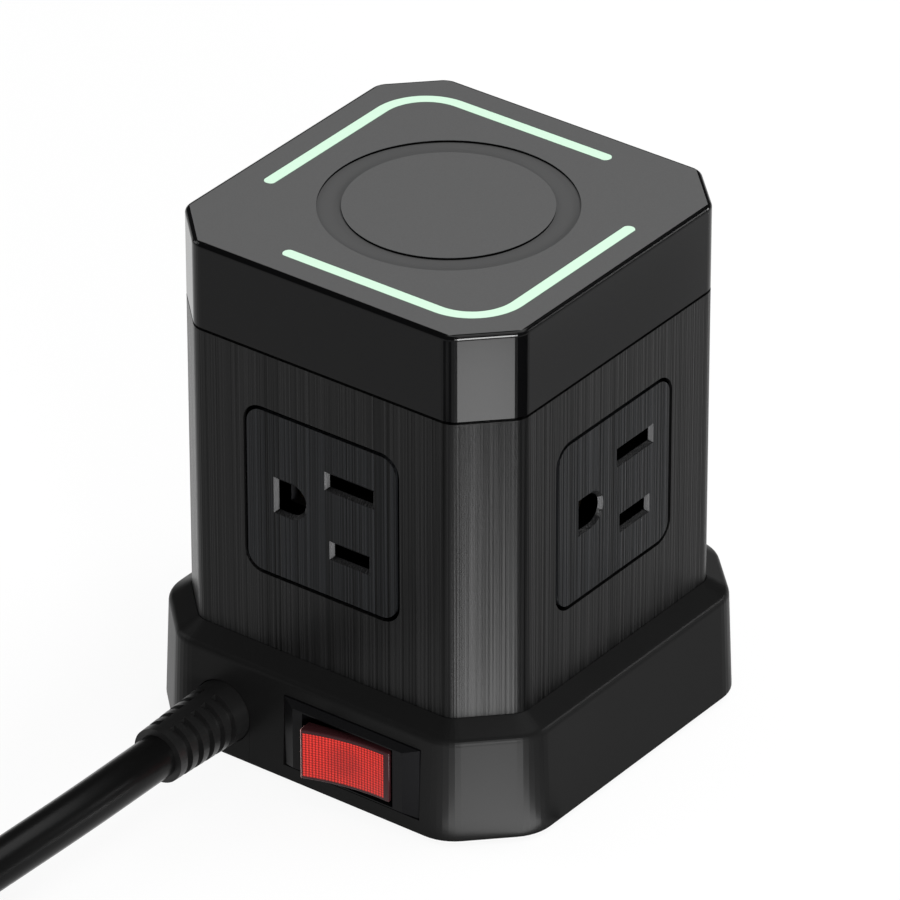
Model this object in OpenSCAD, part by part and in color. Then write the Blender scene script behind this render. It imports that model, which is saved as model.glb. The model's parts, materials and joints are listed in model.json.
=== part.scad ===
// Cube-tower power strip with a wireless charging top, built as an assembly of its real pieces.
// Millimetres. +Z is up, the rubber feet stand on z = 0, and the Z axis runs up the middle.
// -Y is the face with the rocker switch and the cord. +X is the outlet face to its right.

/* [Feet and base] */
// How far the rubber feet stand out below the base
foot_proud = 0.8; // [0.4:0.1:2]
// Radius of a rubber foot
foot_r = 5.5; // [4:0.5:7]
// Depth of a foot's pocket in the bottom plate
foot_pocket = 0.8; // [0.4:0.1:1.2]
// Distance of each foot's middle inside the tower's flat faces
foot_inset = 14; // [13:0.5:18]
// Height of the base up to where the tower leaves it
base_h = 20.8; // [19.8:0.2:24]
// How far the base spreads outside the tower at the floor
base_flare = 4.56; // [4:0.1:6]
// Draft of the base's side walls, in degrees
base_draft = 2.2; // [0:0.2:4]
// Slope of the base's shoulder from level, in degrees
shoulder_slope = 33; // [20:1:45]
// Rounding between the base's wall and its shoulder
shoulder_round = 1.5; // [0.5:0.1:2]
// Distance of the base's inner wall outside the tower's outline
base_inner = 1.9; // [1.5:0.1:2.2]
// Height of the room inside the base, under the ledge
base_room = 16; // [15.6:0.1:16.6]
// Thickness of the ledge that carries the tower
ledge_t = 1.8; // [1.2:0.1:2.6]
// Width of the ledge inside the tower's outline
ledge_w = 3.5; // [3:0.1:5]
// Thickness of the bottom plate
plate_t = 2.4; // [2:0.1:3]
// Thickness of the board posts, as a radius
post_r = 2.2; // [1.6:0.1:3]

/* [Tower and cap] */
// Width of the tower across its flat faces
body_w = 68; // [66:0.5:76]
// Length that each corner cut takes off a face
corner_cut = 8.5; // [6:0.5:10]
// Rounding of the tower's upright edges
corner_r = 3.5; // [1:0.5:4]
// Wall of the tower and the cap
body_wall = 2.2; // [1.8:0.1:2.6]
// Height of the tower that shows between the base and the cap
body_show = 54.7; // [52:0.5:70]
// Height of the cap
cap_h = 16; // [15:0.5:22]
// Thickness of the cap's top
cap_top = 2.2; // [1.6:0.1:2.6]
// Rounding of the cap's top edge
cap_round = 0.8; // [0.4:0.1:1.2]
// Height of the dark seam under the cap
seam_gap = 0.5; // [0.2:0.1:0.8]
// Depth of the dark seam under the cap
seam_depth = 0.8; // [0.4:0.1:1.2]

/* [Charging top] */
// Inner radius of the ring recess round the charging spot
ring_in = 17.3; // [12:0.1:18]
// Outer radius of the ring recess
ring_out = 21.3; // [19:0.1:24]
// Depth of the ring recess
ring_depth = 0.4; // [0.2:0.1:0.8]
// Distance of the light strips' middle lines inside the cap's flat faces
strip_inset = 6.2; // [5.5:0.1:8]
// Width of a light strip
strip_w = 2.2; // [1.2:0.1:2.4]
// Corner radius of a light strip, at its middle line
strip_r = 9; // [6:0.5:12]
// How far a strip's ends reach past the middle plane
strip_reach = 10.8; // [8:0.2:16]
// Extra width of a strip's flange inside, on each side
strip_lip = 0.5; // [0.3:0.1:0.8]
// Thickness of a strip's flange
strip_flange = 0.8; // [0.5:0.1:1]
// Inner radius of the charging coil
coil_in = 10; // [8:0.5:12]
// How far the ferrite disc reaches past the coil
coil_margin = 3; // [2:0.5:5]
// Thickness of the charging coil
coil_t = 1.6; // [1:0.1:1.8]
// Gap between the ferrite disc and the lights under the strips
ferrite_gap = 3.1; // [2:0.1:5]
// Thickness of the ferrite disc
ferrite_t = 1.2; // [0.8:0.1:1.4]

/* [Outlets] */
// Height of the middle of each outlet panel over the base's bottom
panel_z = 50; // [48:0.2:54]
// Width of the window for an outlet panel
window_w = 31.5; // [29:0.1:33]
// Height of the window for an outlet panel
window_h = 31.4; // [29:0.1:33]
// Corner radius of the window
window_r = 3.7; // [3:0.1:6]
// Width of the groove round a panel
panel_gap = 0.7; // [0.2:0.05:1]
// Sideways place of the right panel
right_shift = -1; // [-2:0.1:2]
// Overlap of a panel's flange behind the tower's wall
flange_over = 1.8; // [1.2:0.1:2.4]
// Thickness of a panel's flange
flange_t = 1.6; // [1.2:0.1:2.2]
// Distance between the two blade slots
blade_pitch = 12.7; // [12:0.1:13]
// Place of the blade slots beside the panel's middle
blade_x = 5.7; // [5:0.1:6.5]
// Place of the ground hole beside the panel's middle
ground_x = -6.3; // [-7:0.1:-5.5]
// Length of the neutral slot
neutral_len = 8.8; // [8.2:0.1:9.2]
// Length of the hot slot
hot_len = 7.0; // [6.6:0.1:7.4]
// Height of a blade slot
slot_h = 2.3; // [1.9:0.1:2.6]
// Diameter of the ground hole
ground_d = 5.5; // [5.2:0.1:5.8]
// Sloped lead-in round each slot
lead_in = 0.62; // [0.3:0.02:0.9]
// Width of a contact carrier
carrier_w = 27; // [25:0.5:27.5]
// Gap between the contact carriers of neighbouring faces
carrier_gap = 0.7; // [0.4:0.1:2]
// Thickness of a contact leaf
leaf_t = 0.6; // [0.4:0.05:0.7]

/* [USB side] */
// Distance between two USB ports
usb_pitch = 9.5; // [8.5:0.1:10]
// Width of a USB-A socket
usb_a_w = 13.1; // [12.9:0.1:13.5]
// Height of a USB-A socket
usb_a_h = 5.7; // [5.5:0.1:6]
// Width of a USB-C socket
usb_c_w = 8.9; // [8.7:0.1:9.2]
// Height of a USB-C socket
usb_c_h = 3.2; // [3.1:0.1:3.5]
// Length of each USB socket
usb_len = 13; // [12:0.5:14]
// Thickness of a USB socket's steel
usb_skin = 0.3; // [0.25:0.05:0.35]

/* [Switch] */
// Sideways place of the switch
switch_x = 9; // [6:0.5:9.5]
// Height of the switch over the base's bottom
switch_z = 9.1; // [8.9:0.1:9.3]
// Width of the bezel at its rim
bezel_w = 27.5; // [26:0.5:28]
// Height of the bezel at its rim
bezel_h = 13; // [12.8:0.1:13.2]
// How far the bezel stands out of its pocket
bezel_proud = 1.65; // [1:0.05:2]
// Length of the bezel's sloped ends
bezel_slope = 2.6; // [2:0.1:3]
// Thickness of the bezel's upright rim
bezel_rim = 0.4; // [0.2:0.1:0.8]
// Length of the rocker
rocker_w = 16.2; // [15:0.1:17]
// Height of the rocker
rocker_h = 9.4; // [8.4:0.1:9.5]
// Gap round the rocker, top and bottom
rocker_gap_z = 0.8; // [0.3:0.1:0.8]
// Gap beyond each end of the rocker
rocker_gap_x = 1.1; // [0.9:0.1:1.4]
// Rocker angle at each end of its travel, in degrees
rocker_tilt = 10; // [7:0.5:11]
// Angle from the rocker's middle to each end of its hollow face, in degrees
rocker_dish = 6; // [2:0.5:7]
// Distance of the rocker's face in front of its pins
rocker_rise = 3; // [2.6:0.1:3.4]
// Distance of the rocker's pins behind the bezel's front
pivot_depth = 2.2; // [1.5:0.1:2.3]
// Radius of the rocker's pins
pin_r = 0.9; // [0.7:0.05:1]
// Radial clearance of the pins
pin_fit = 0.05; // [0.02:0.01:0.1]
// Wall of the rocker's red lens
lens_wall = 0.9; // [0.7:0.1:1.2]
// Depth of the switch housing behind its bezel
switch_depth = 15.5; // [15:0.5:17]

/* [Cord] */
// Diameter of the cord
cord_d = 7.5; // [7:0.1:8]
// Sideways place of the cord
cord_x = -17.6; // [-18:0.1:-17.2]
// Height of the cord's exit over the base's bottom
cord_z = 7.8; // [7.6:0.1:8]
// Radius of the strain relief at the wall
relief_r = 5.5; // [5.2:0.1:5.8]
// Radius of the strain relief at its end
relief_tip_r = 4.85; // [4.4:0.05:5]
// Length of the strain relief outside the wall
relief_len = 16.9; // [16:0.1:18]
// Number of grooves in the strain relief
relief_grooves = 5; // [3:1:6]
// Distance from one groove to the next
groove_pitch = 2.7; // [2.2:0.1:2.8]
// Width of a groove
groove_w = 1.3; // [0.8:0.1:1.6]
// Depth of a groove
groove_d = 1; // [0.4:0.1:1.2]
// Middle radius of the coiled spare cord
coil_mid_r = 41; // [40:0.5:44]

/* [Fits and screws] */
// Clearance between pieces that slot together
fit = 0.1; // [0.05:0.05:0.2]
// Radius of the long tie screws
tie_r = 1.5; // [1.2:0.1:1.6]
// Distance of each tie screw inside the tower's flat faces
tie_inset = 9; // [8.8:0.1:9.1]
// Radius of the columns and bosses that the tie screws pass through
tie_boss_r = 4.6; // [4.4:0.1:4.8]
// Radius of the small screws
screw_r = 1.2; // [1:0.1:1.3]
// Distance of each bottom screw inside the tower's flat faces
bottom_screw_inset = 5.1; // [5:0.05:5.2]
// Distance of each charger board screw inside the tower's flat faces
post_inset = 12.5; // [11.5:0.5:14]

/* [Hidden] */
$fn = 48;

// Heights of the stack
z_base = foot_proud;
z_seat = z_base + base_room + ledge_t;
z_tower = z_base + base_h;
z_seam = z_tower + body_show;
z_top = z_seam + cap_h;
z_roof = z_top - cap_top;
z_panel = z_base + panel_z;

// The tower's outline: an octagon with rounded corners
half_w = body_w / 2;
foot_pos = half_w - foot_inset;
tie_pos = half_w - tie_inset;
bottom_screw_pos = half_w - bottom_screw_inset;
post_pos = half_w - post_inset;
strip_off = half_w - strip_inset;
corner_dist = (body_w - corner_cut) / sqrt(2);
corner_steps = 6;
eps = 0.01;

// Points of the outline, moved outwards by d
function oct_points(d) =
    let (
        h = half_w + d,
        r = max(corner_r + d, 0.3),
        a = h - r,
        b = sqrt(2) * (corner_dist + d - r) - a
    )
    [for (q = [0:3], side = [0:1], i = [0:corner_steps])
        let (
            t = side * 45 + i * 45 / corner_steps,
            x = (side == 0 ? a : b) + r * cos(t),
            y = (side == 0 ? b : a) + r * sin(t)
        )
        [x * cos(90 * q) - y * sin(90 * q), x * sin(90 * q) + y * cos(90 * q)]];

module slab(d, z, h) {
    translate([0, 0, z]) linear_extrude(h) polygon(oct_points(d));
}

// A box from two opposite corners
module box(low, high) {
    translate(low) cube([high[0] - low[0], high[1] - low[1], high[2] - low[2]]);
}

// A cylinder along Y, from y0 to y1
module rod_y(x, z, r, y0, y1) {
    translate([x, y0, z]) rotate([-90, 0, 0]) cylinder(r = r, h = y1 - y0);
}

// Turns what is drawn for the front face to face i, counted front, right, back, left
face_shift = [0, right_shift, 0, 0];
module on_face(i) {
    rotate(90 * i) translate([face_shift[i], 0, 0]) children();
}

// Copies at the four corners
module corners(p) {
    for (x = [-p, p], y = [-p, p]) translate([x, y, 0]) children();
}

// ---- feet, plate and base ----

module rubber_feet() color("#1a1a1a") {
    corners(foot_pos) cylinder(r = foot_r, h = foot_proud + foot_pocket);
}

plate_gap = 0.15;
board_t = 1.6;
board_rise = 1.2;
board_post_in = 3;
board_post_y = 10;
column_gap = 0.6;
board_side_gap = 4.8;
power_board_z = z_tower + board_rise;
power_board_w = 2 * (half_w - body_wall - board_side_gap);
power_board_d = 2 * (tie_pos - tie_boss_r - column_gap);
board_post_x = power_board_w / 2 - board_post_in;

module bottom_plate() color("#202020") {
    difference() {
        union() {
            slab(base_inner - plate_gap, z_base, plate_t);
            for (x = [-board_post_x, board_post_x], y = [-board_post_y, board_post_y])
                translate([x, y, z_base]) cylinder(r = post_r, h = power_board_z - z_base);
        }
        corners(foot_pos) translate([0, 0, z_base - 1])
            cylinder(r = foot_r + fit, h = 1 + foot_pocket);
        corners(bottom_screw_pos) translate([0, 0, z_base - 1]) {
            cylinder(r = screw_r + fit, h = plate_t + 2);
            cylinder(r = screw_r + head_over + fit, h = 1 + head_t);
        }
    }
}

head_over = 1.1;
head_t = 1.4;
cross_w = 0.5;
bottom_screw_len = 9;
boss_wall = 1.4;
bite = 0.02;

module bottom_screws() color("silver") {
    corners(bottom_screw_pos) translate([0, 0, z_base]) screw(screw_r, bottom_screw_len);
}

// A pan screw, head down, with a cross slot
module screw(r, len) {
    difference() {
        union() {
            cylinder(r = r + head_over, h = head_t);
            cylinder(r = r, h = len);
        }
        for (a = [0, 90]) rotate(a) box([-r, -cross_w / 2, -1], [r, cross_w / 2, head_t / 2]);
    }
}

// The base's outside: drafted wall, rounding and shoulder, as rings of the same outline
wall_slope = tan(base_draft);
shoulder_tan = tan(shoulder_slope);
edge_d = (base_flare - wall_slope * base_h) / (1 - wall_slope * shoulder_tan);
edge_z = base_h - edge_d * shoulder_tan;
edge_n = [cos(base_draft) + sin(shoulder_slope), sin(base_draft) + cos(shoulder_slope)];
edge_k = shoulder_round / (1 + cos(90 - shoulder_slope - base_draft));
edge_steps = 5;

module base_outside() {
    hull() {
        slab(base_flare, z_base, eps);
        for (i = [0:edge_steps]) {
            a = base_draft + i * (90 - shoulder_slope - base_draft) / edge_steps;
            slab(
                edge_d - edge_k * edge_n[0] + shoulder_round * cos(a),
                z_base + edge_z - edge_k * edge_n[1] + shoulder_round * sin(a),
                eps
            );
        }
        slab(0, z_tower - eps, eps);
    }
}

// The slot in the front wall that the strain relief lies in, closed from below by the gate
slot_gap = 0.15;
gate_gap = 0.05;
slot_r = relief_r + slot_gap;
wall_out = -half_w - base_flare - 1;
module cord_slot(r) {
    rod_y(cord_x, z_base + cord_z, r, wall_out, relief_inner + 1);
    box([cord_x - r, wall_out, z_base - 1], [cord_x + r, relief_inner + 1, z_base + cord_z]);
}

module base_shell() color("#1c1c1e") {
    difference() {
        union() {
            difference() {
                base_outside();
                slab(base_inner, z_base - 1, 1 + base_room);
                slab(fit, z_seat, base_h);
                slab(-ledge_w, z_base, base_h);
            }
            corners(tie_pos) translate([0, 0, z_base + base_room]) cylinder(r = tie_boss_r, h = ledge_t);
            corners(bottom_screw_pos) translate([0, 0, z_base + plate_t])
                cylinder(r = screw_r + boss_wall, h = base_room - plate_t + 0.5);
        }
        corners(tie_pos) translate([0, 0, z_base]) cylinder(r = tie_r + fit * 2, h = base_h);
        corners(bottom_screw_pos) translate([0, 0, z_base])
            cylinder(r = screw_r + bite, h = plate_t + bottom_screw_len);
        cord_slot(slot_r);
        // pocket of the bezel and the hole for the housing
        box(
            [switch_x - bezel_w / 2 - pocket_gap, wall_out, z_switch - bezel_h / 2 - pocket_gap],
            [switch_x + bezel_w / 2 + pocket_gap, bezel_back, z_switch + bezel_h / 2 + pocket_gap]
        );
        box(
            [switch_x - housing_w / 2 - fit, wall_out, z_switch - housing_h / 2 - fit],
            [switch_x + housing_w / 2 + fit, -half_w, z_switch + housing_h / 2 + fit]
        );
    }
}

module cord_gate() color("#1c1c1e") {
    difference() {
        intersection() {
            base_outside();
            box(
                [cord_x - slot_r + gate_gap, wall_out, z_base],
                [cord_x + slot_r - gate_gap, relief_inner, z_base + cord_z]
            );
        }
        rod_y(cord_x, z_base + cord_z, slot_r, wall_out - 1, relief_inner + 1);
    }
}

// ---- tower ----

rib_t = 1;
rib_h = 2.5;
rib_half = 14;
root = 0.2;

// A rectangle with rounded corners
module round_rect(w, h, r) {
    square([w - 2 * r, h], center = true);
    square([w, h - 2 * r], center = true);
    for (x = [-1, 1], y = [-1, 1]) translate([x * (w / 2 - r), y * (h / 2 - r)]) circle(r = r);
}

// The rounded square of a window or panel, drawn in X and Z at the front face
module panel_block(w, h, r, y0, y1) {
    translate([0, y1, z_panel]) rotate([90, 0, 0]) linear_extrude(y1 - y0) round_rect(w, h, r);
}

module body_shell() color("#2a2a2c") {
    difference() {
        union() {
            difference() {
                slab(0, z_seat, z_seam - z_seat);
                slab(-body_wall, z_seat - 1, z_seam - z_seat + 2);
            }
            corners(tie_pos) translate([0, 0, z_seat]) cylinder(r = tie_boss_r, h = z_seam - z_seat);
            for (i = [0:3]) rotate(90 * i) {
                box(
                    [-rib_half, -half_w + body_wall - root, z_seam - rib_h],
                    [rib_half, -half_w + body_wall + rib_t + fit, z_seam]
                );
                box(
                    [-rib_half, -half_w + body_wall + fit, z_seam - rib_h],
                    [rib_half, -half_w + body_wall + rib_t + fit, z_seam + rib_h]
                );
            }
        }
        corners(tie_pos) translate([0, 0, z_seat - 1]) cylinder(r = tie_r + fit * 2, h = z_seam - z_seat + 2);
        for (i = [0:3]) on_face(i)
            panel_block(window_w, window_h, window_r, -half_w - 1, -half_w + body_wall + 1);
    }
}

tie_head_t = 2;
tie_bite = 6.5;
tie_cross_w = 0.6;

module tie_screws() color("silver") {
    corners(tie_pos) translate([0, 0, z_base + base_room - tie_head_t]) difference() {
        union() {
            cylinder(r = tie_r + head_over, h = tie_head_t);
            cylinder(r = tie_r, h = z_seam + tie_bite - z_base - base_room + tie_head_t);
        }
        for (a = [0, 90]) rotate(a)
            box([-tie_r, -tie_cross_w / 2, -1], [tie_r, tie_cross_w / 2, tie_head_t / 2]);
    }
}

// ---- cap and charger ----

cap_steps = 6;
board_post_r = 1.8;
board_screw_r = screw_r - 0.2;
coil_gap = 0.3;
led_w = 1.4;
ferrite_r = strip_off - led_w / 2 - ferrite_gap;
coil_out = ferrite_r - coil_margin;
strip_gap = 0.05;
charger_z = z_roof - coil_t - ferrite_t - board_t - coil_gap;

module top_cap() color("#26272b") {
    difference() {
        union() {
            difference() {
                union() {
                    slab(0, z_seam, cap_h - cap_round);
                    hull() for (i = [0:cap_steps]) {
                        a = 90 * i / cap_steps;
                        slab(-cap_round * (1 - cos(a)), z_top - cap_round * (1 - sin(a)) - eps, eps);
                    }
                }
                slab(-body_wall, z_seam - 1, cap_h - cap_top + 1);
            }
            corners(tie_pos) translate([0, 0, z_seam])
                cylinder(r = tie_boss_r, h = tie_bite + 0.5);
            corners(post_pos) translate([0, 0, charger_z + board_t])
                cylinder(r = board_post_r, h = z_roof - charger_z - board_t + 0.5);
        }
        // the dark seam
        difference() {
            slab(1, z_seam - 1, 1 + seam_gap);
            slab(-seam_depth, z_seam - 2, 4);
        }
        corners(tie_pos) translate([0, 0, z_seam - 1]) cylinder(r = tie_r + bite, h = tie_bite + 2);
        corners(post_pos) translate([0, 0, charger_z])
            cylinder(r = board_screw_r + bite, h = z_roof - charger_z + 0.6);
        translate([0, 0, z_top - ring_depth]) difference() {
            cylinder(r = ring_out, h = 1, $fn = 96);
            translate([0, 0, -1]) cylinder(r = ring_in, h = 3, $fn = 96);
        }
        for (a = [0, 180]) rotate(a)
            translate([0, 0, z_roof - 1]) linear_extrude(cap_top + 2) strip_outline(strip_w + 2 * strip_gap);
    }
}

// One L-shaped light strip round the near (+X, -Y) corner, with round ends
module strip_outline(w) {
    turn = strip_off - strip_r;
    translate([-strip_reach, -strip_off - w / 2]) square([turn + strip_reach, w]);
    translate([strip_off - w / 2, -turn]) square([w, turn + strip_reach]);
    translate([-strip_reach, -strip_off]) circle(r = w / 2);
    translate([strip_off, strip_reach]) circle(r = w / 2);
    translate([turn, -turn]) intersection() {
        difference() {
            circle(r = strip_r + w / 2, $fn = 64);
            circle(r = strip_r - w / 2, $fn = 64);
        }
        translate([0, -2 * strip_r]) square([2 * strip_r, 2 * strip_r]);
    }
}

module light_strip() {
    translate([0, 0, z_roof]) linear_extrude(cap_top) strip_outline(strip_w);
    translate([0, 0, z_roof - strip_flange]) linear_extrude(strip_flange)
        strip_outline(strip_w + 2 * strip_lip);
}

module light_strip_near() color("#d8ffe6") light_strip();

module light_strip_far() color("#d8ffe6") rotate(180) light_strip();

// Flat copper winding: two layers of round turns, drawn as rings
wire_d = 0.75;
module charging_coil() color("#b8652f") {
    translate([0, 0, charger_z + board_t + ferrite_t]) rotate_extrude($fn = 64) difference() {
        translate([coil_in, 0]) square([coil_out - coil_in, coil_t]);
        for (r = [coil_in + wire_d:wire_d:coil_out - wire_d / 2])
            translate([r, coil_t]) rotate(45) square(wire_d / 5, center = true);
    }
}

module ferrite_disc() color("#3a3a3a") {
    translate([0, 0, charger_z + board_t]) cylinder(r = ferrite_r, h = ferrite_t, $fn = 64);
}

board_edge_gap = 0.5;
module charger_board() color("#1d6b3a") {
    difference() {
        slab(-body_wall - board_edge_gap, charger_z, board_t);
        corners(post_pos) translate([0, 0, charger_z - 1]) cylinder(r = board_screw_r + fit, h = board_t + 2);
    }
}

module board_screws() color("silver") {
    corners(post_pos) translate([0, 0, charger_z - head_t])
        screw(board_screw_r, z_roof - charger_z + head_t - 0.5);
}

// Small light-emitting diodes under the strips, on the charger board
led_len = 3;
led_gap = 0.3;
led_pitch = 10;
module strip_leds() color("#f5f2d0") {
    led_h = z_roof - strip_flange - led_gap - charger_z - board_t;
    for (a = [0, 180], p = [-led_pitch, 0, led_pitch]) rotate(a) {
        z = charger_z + board_t;
        translate([p - led_len / 2, -strip_off - led_w / 2, z]) cube([led_len, led_w, led_h]);
        translate([strip_off - led_w / 2, p - led_len / 2, z]) cube([led_w, led_len, led_h]);
    }
}

// ---- outlets ----

panel_deep = body_wall + flange_t;
panel_back = -half_w + panel_deep;
carrier_back = -carrier_w / 2 - carrier_gap;
blade_zs = [-blade_pitch / 2, blade_pitch / 2];
blade_lens = [hot_len, neutral_len];
clip_gap = 1.5;
clip_back = 1.2;
clip_start = 2.5;
clip_h = clip_gap + 2 * leaf_t;
ground_clip = 5;

module slot_shape(len, h, grow) {
    square([len + 2 * grow, h + 2 * grow], center = true);
}

// Ground hole: round towards the blades, flat on the other side
module ground_shape(grow) {
    r = ground_d / 2 + grow;
    circle(r = r);
    translate([-r, -r]) square([r, 2 * r]);
}

// A hole through a panel with a sloped lead-in, drawn from the front face inwards
module lead_cut() {
    translate([0, -half_w, 0]) rotate([90, 0, 0]) {
        translate([0, 0, -panel_deep - 1]) linear_extrude(panel_deep + 2) children(0);
        hull() {
            translate([0, 0, -lead_in]) linear_extrude(eps) children(0);
            linear_extrude(eps) children(1);
        }
    }
}

// A blank panel: the face that shows in the window, and the flange behind the tower's wall
module panel_blank() {
    g = 2 * panel_gap;
    o = 2 * flange_over;
    panel_block(window_w - g, window_h - g, window_r - panel_gap, -half_w, -half_w + body_wall + root);
    panel_block(window_w + o, window_h + o, window_r, -half_w + body_wall, panel_back);
}

module outlet_face() {
    difference() {
        panel_blank();
        for (i = [0:1]) translate([blade_x, 0, z_panel + blade_zs[i]]) lead_cut() {
            slot_shape(blade_lens[i], slot_h, 0);
            slot_shape(blade_lens[i], slot_h, lead_in);
        }
        translate([ground_x, 0, z_panel]) lead_cut() {
            ground_shape(0);
            ground_shape(lead_in);
        }
    }
}

module outlet_face_front() color("#26282c") on_face(0) outlet_face();

module outlet_face_right() color("#26282c") on_face(1) outlet_face();

module outlet_face_back() color("#26282c") on_face(2) outlet_face();

// Square tunnel round a contact that reaches a to each side and b up and down
module contact_tunnel(x, z, a, b) {
    box(
        [x - a - fit, panel_back - 1, z_panel + z - b - fit],
        [x + a + fit, carrier_back + 1, z_panel + z + b + fit]
    );
}

// Block behind a panel with a tunnel for each contact
module outlet_carrier() {
    difference() {
        box(
            [-carrier_w / 2, panel_back, z_panel - carrier_w / 2],
            [carrier_w / 2, carrier_back, z_panel + carrier_w / 2]
        );
        for (i = [0:1]) contact_tunnel(blade_x, blade_zs[i], blade_lens[i] / 2, clip_h / 2);
        contact_tunnel(ground_x, 0, ground_clip / 2 + leaf_t, ground_clip / 2 + leaf_t);
    }
}

module outlet_carrier_front() color("#303034") on_face(0) outlet_carrier();

module outlet_carrier_right() color("#303034") on_face(1) outlet_carrier();

module outlet_carrier_back() color("#303034") on_face(2) outlet_carrier();

// Two spring leaves joined at the back, for one blade
module blade_clip(len, z) {
    difference() {
        box(
            [blade_x - len / 2, panel_back + clip_start, z_panel + z - clip_h / 2],
            [blade_x + len / 2, carrier_back, z_panel + z + clip_h / 2]
        );
        box(
            [blade_x - len / 2 - 1, panel_back, z_panel + z - clip_gap / 2],
            [blade_x + len / 2 + 1, carrier_back - clip_back, z_panel + z + clip_gap / 2]
        );
    }
}

// A square tube with a back, for the ground pin
module ground_clip_solid() {
    o = ground_clip / 2 + leaf_t;
    difference() {
        box(
            [ground_x - o, panel_back + clip_start, z_panel - o],
            [ground_x + o, carrier_back, z_panel + o]
        );
        box(
            [ground_x - ground_clip / 2, panel_back, z_panel - ground_clip / 2],
            [ground_x + ground_clip / 2, carrier_back - clip_back, z_panel + ground_clip / 2]
        );
    }
}

// Flat bar that joins the three clips of one pole behind the carriers
bar_w = 4;
bar_t = 0.8;
module pole_bar(x, z) {
    b = bar_w / 2;
    yr = x + right_shift;
    box([x - b, carrier_back - 0.5, z - bar_t / 2], [x + b, yr + b, z + bar_t / 2]);
    box([-abs(x) - b, yr - b, z - bar_t / 2], [-carrier_back + 0.5, yr + b, z + bar_t / 2]);
    box([-x - b, min(yr, 0) - b, z - bar_t / 2], [-x + b, -carrier_back + 0.5, z + bar_t / 2]);
}

module hot_strip() color("#b9853a") {
    for (i = [0:2]) on_face(i) blade_clip(hot_len, blade_zs[0]);
    pole_bar(blade_x, z_panel + blade_zs[0]);
    riser(blade_x + right_shift - bar_w / 2, z_panel + blade_zs[0]);
}

module neutral_strip() color("#b9853a") {
    for (i = [0:2]) on_face(i) blade_clip(neutral_len, blade_zs[1]);
    pole_bar(blade_x, z_panel + blade_zs[1]);
    riser(neutral_riser_y, z_panel + blade_zs[1]);
    box(
        [riser_x[0], blade_x, z_panel + blade_zs[1] - bar_t / 2],
        [riser_x[1], neutral_riser_y + riser_t, z_panel + blade_zs[1] + bar_t / 2]
    );
}

module ground_strip() color("#b9853a") {
    for (i = [0:2]) on_face(i) ground_clip_solid();
    pole_bar(ground_x, z_panel);
    riser(ground_x + right_shift - bar_w / 2, z_panel);
}

// ---- USB side ----

usb_sunk = 0.6;
usb_front = -half_w + usb_sunk;
usb_board_y = usb_front + usb_len;
usb_board_half = 13.5;
usb_board_over = 20;
core_t = 1.8;
core_base = 3;
core_sunk = 0.8;
core_side = 0.6;
core_up = 0.4;
usb_c_tongue_w = 6.6;
usb_c_tongue_t = 0.7;

// Calls its children at each port's height: A, A, then C
module at_port(i) {
    translate([0, 0, z_panel + (1 - i) * usb_pitch]) children();
}

module usb_face() color("#26282c") on_face(3) difference() {
    panel_blank();
    for (i = [0:1]) at_port(i) box(
        [-usb_a_w / 2 - fit, -half_w - 1, -usb_a_h / 2 - fit],
        [usb_a_w / 2 + fit, panel_back + 1, usb_a_h / 2 + fit]
    );
    at_port(2) translate([0, panel_back + 1, 0]) rotate([90, 0, 0])
        linear_extrude(panel_back + half_w + 2) pill(usb_c_w + 2 * fit, usb_c_h + 2 * fit);
}

module pill(w, h) {
    square([w - h, h], center = true);
    for (x = [-1, 1]) translate([x * (w - h) / 2, 0]) circle(d = h);
}

module usb_a_shell() {
    difference() {
        box([-usb_a_w / 2, usb_front, -usb_a_h / 2], [usb_a_w / 2, usb_board_y, usb_a_h / 2]);
        box(
            [-usb_a_w / 2 + usb_skin, usb_front - 1, -usb_a_h / 2 + usb_skin],
            [usb_a_w / 2 - usb_skin, usb_board_y + 1, usb_a_h / 2 - usb_skin]
        );
    }
}

// White or black insulator: a block at the back and the tongue with the contacts
module usb_a_core() {
    w = usb_a_w / 2 - usb_skin;
    h = usb_a_h / 2 - usb_skin;
    box([-w, usb_board_y - core_base, -h], [w, usb_board_y, h]);
    box(
        [-w + core_side, usb_front + core_sunk, h - core_up - core_t],
        [w - core_side, usb_board_y - core_base + root, h - core_up]
    );
}

module usb_a_shell_upper() color("silver") on_face(3) at_port(0) usb_a_shell();

module usb_a_core_upper() color("#e8e8e8") on_face(3) at_port(0) usb_a_core();

module usb_a_shell_middle() color("silver") on_face(3) at_port(1) usb_a_shell();

module usb_a_core_middle() color("#e8e8e8") on_face(3) at_port(1) usb_a_core();

module usb_c_shell() color("silver") on_face(3) at_port(2) translate([0, usb_board_y, 0])
    rotate([90, 0, 0]) linear_extrude(usb_len) difference() {
        pill(usb_c_w, usb_c_h);
        pill(usb_c_w - 2 * usb_skin, usb_c_h - 2 * usb_skin);
    }

module usb_c_core() color("#1a1a1a") on_face(3) at_port(2) {
    translate([0, usb_board_y, 0]) rotate([90, 0, 0])
        linear_extrude(core_base) pill(usb_c_w - 2 * usb_skin, usb_c_h - 2 * usb_skin);
    box(
        [-usb_c_tongue_w / 2, usb_front + core_sunk, -usb_c_tongue_t / 2],
        [usb_c_tongue_w / 2, usb_board_y - core_base + root, usb_c_tongue_t / 2]
    );
}

module usb_board() color("#1d6b3a") on_face(3) box(
    [-usb_board_half, usb_board_y, power_board_z + board_t],
    [usb_board_half, usb_board_y + board_t, z_panel + usb_board_over]
);

// ---- power board ----

parts_z = power_board_z + board_t;

module power_board() color("#1d6b3a") box(
    [-power_board_w / 2, -power_board_d / 2, power_board_z],
    [power_board_w / 2, power_board_d / 2, power_board_z + board_t]
);

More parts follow.
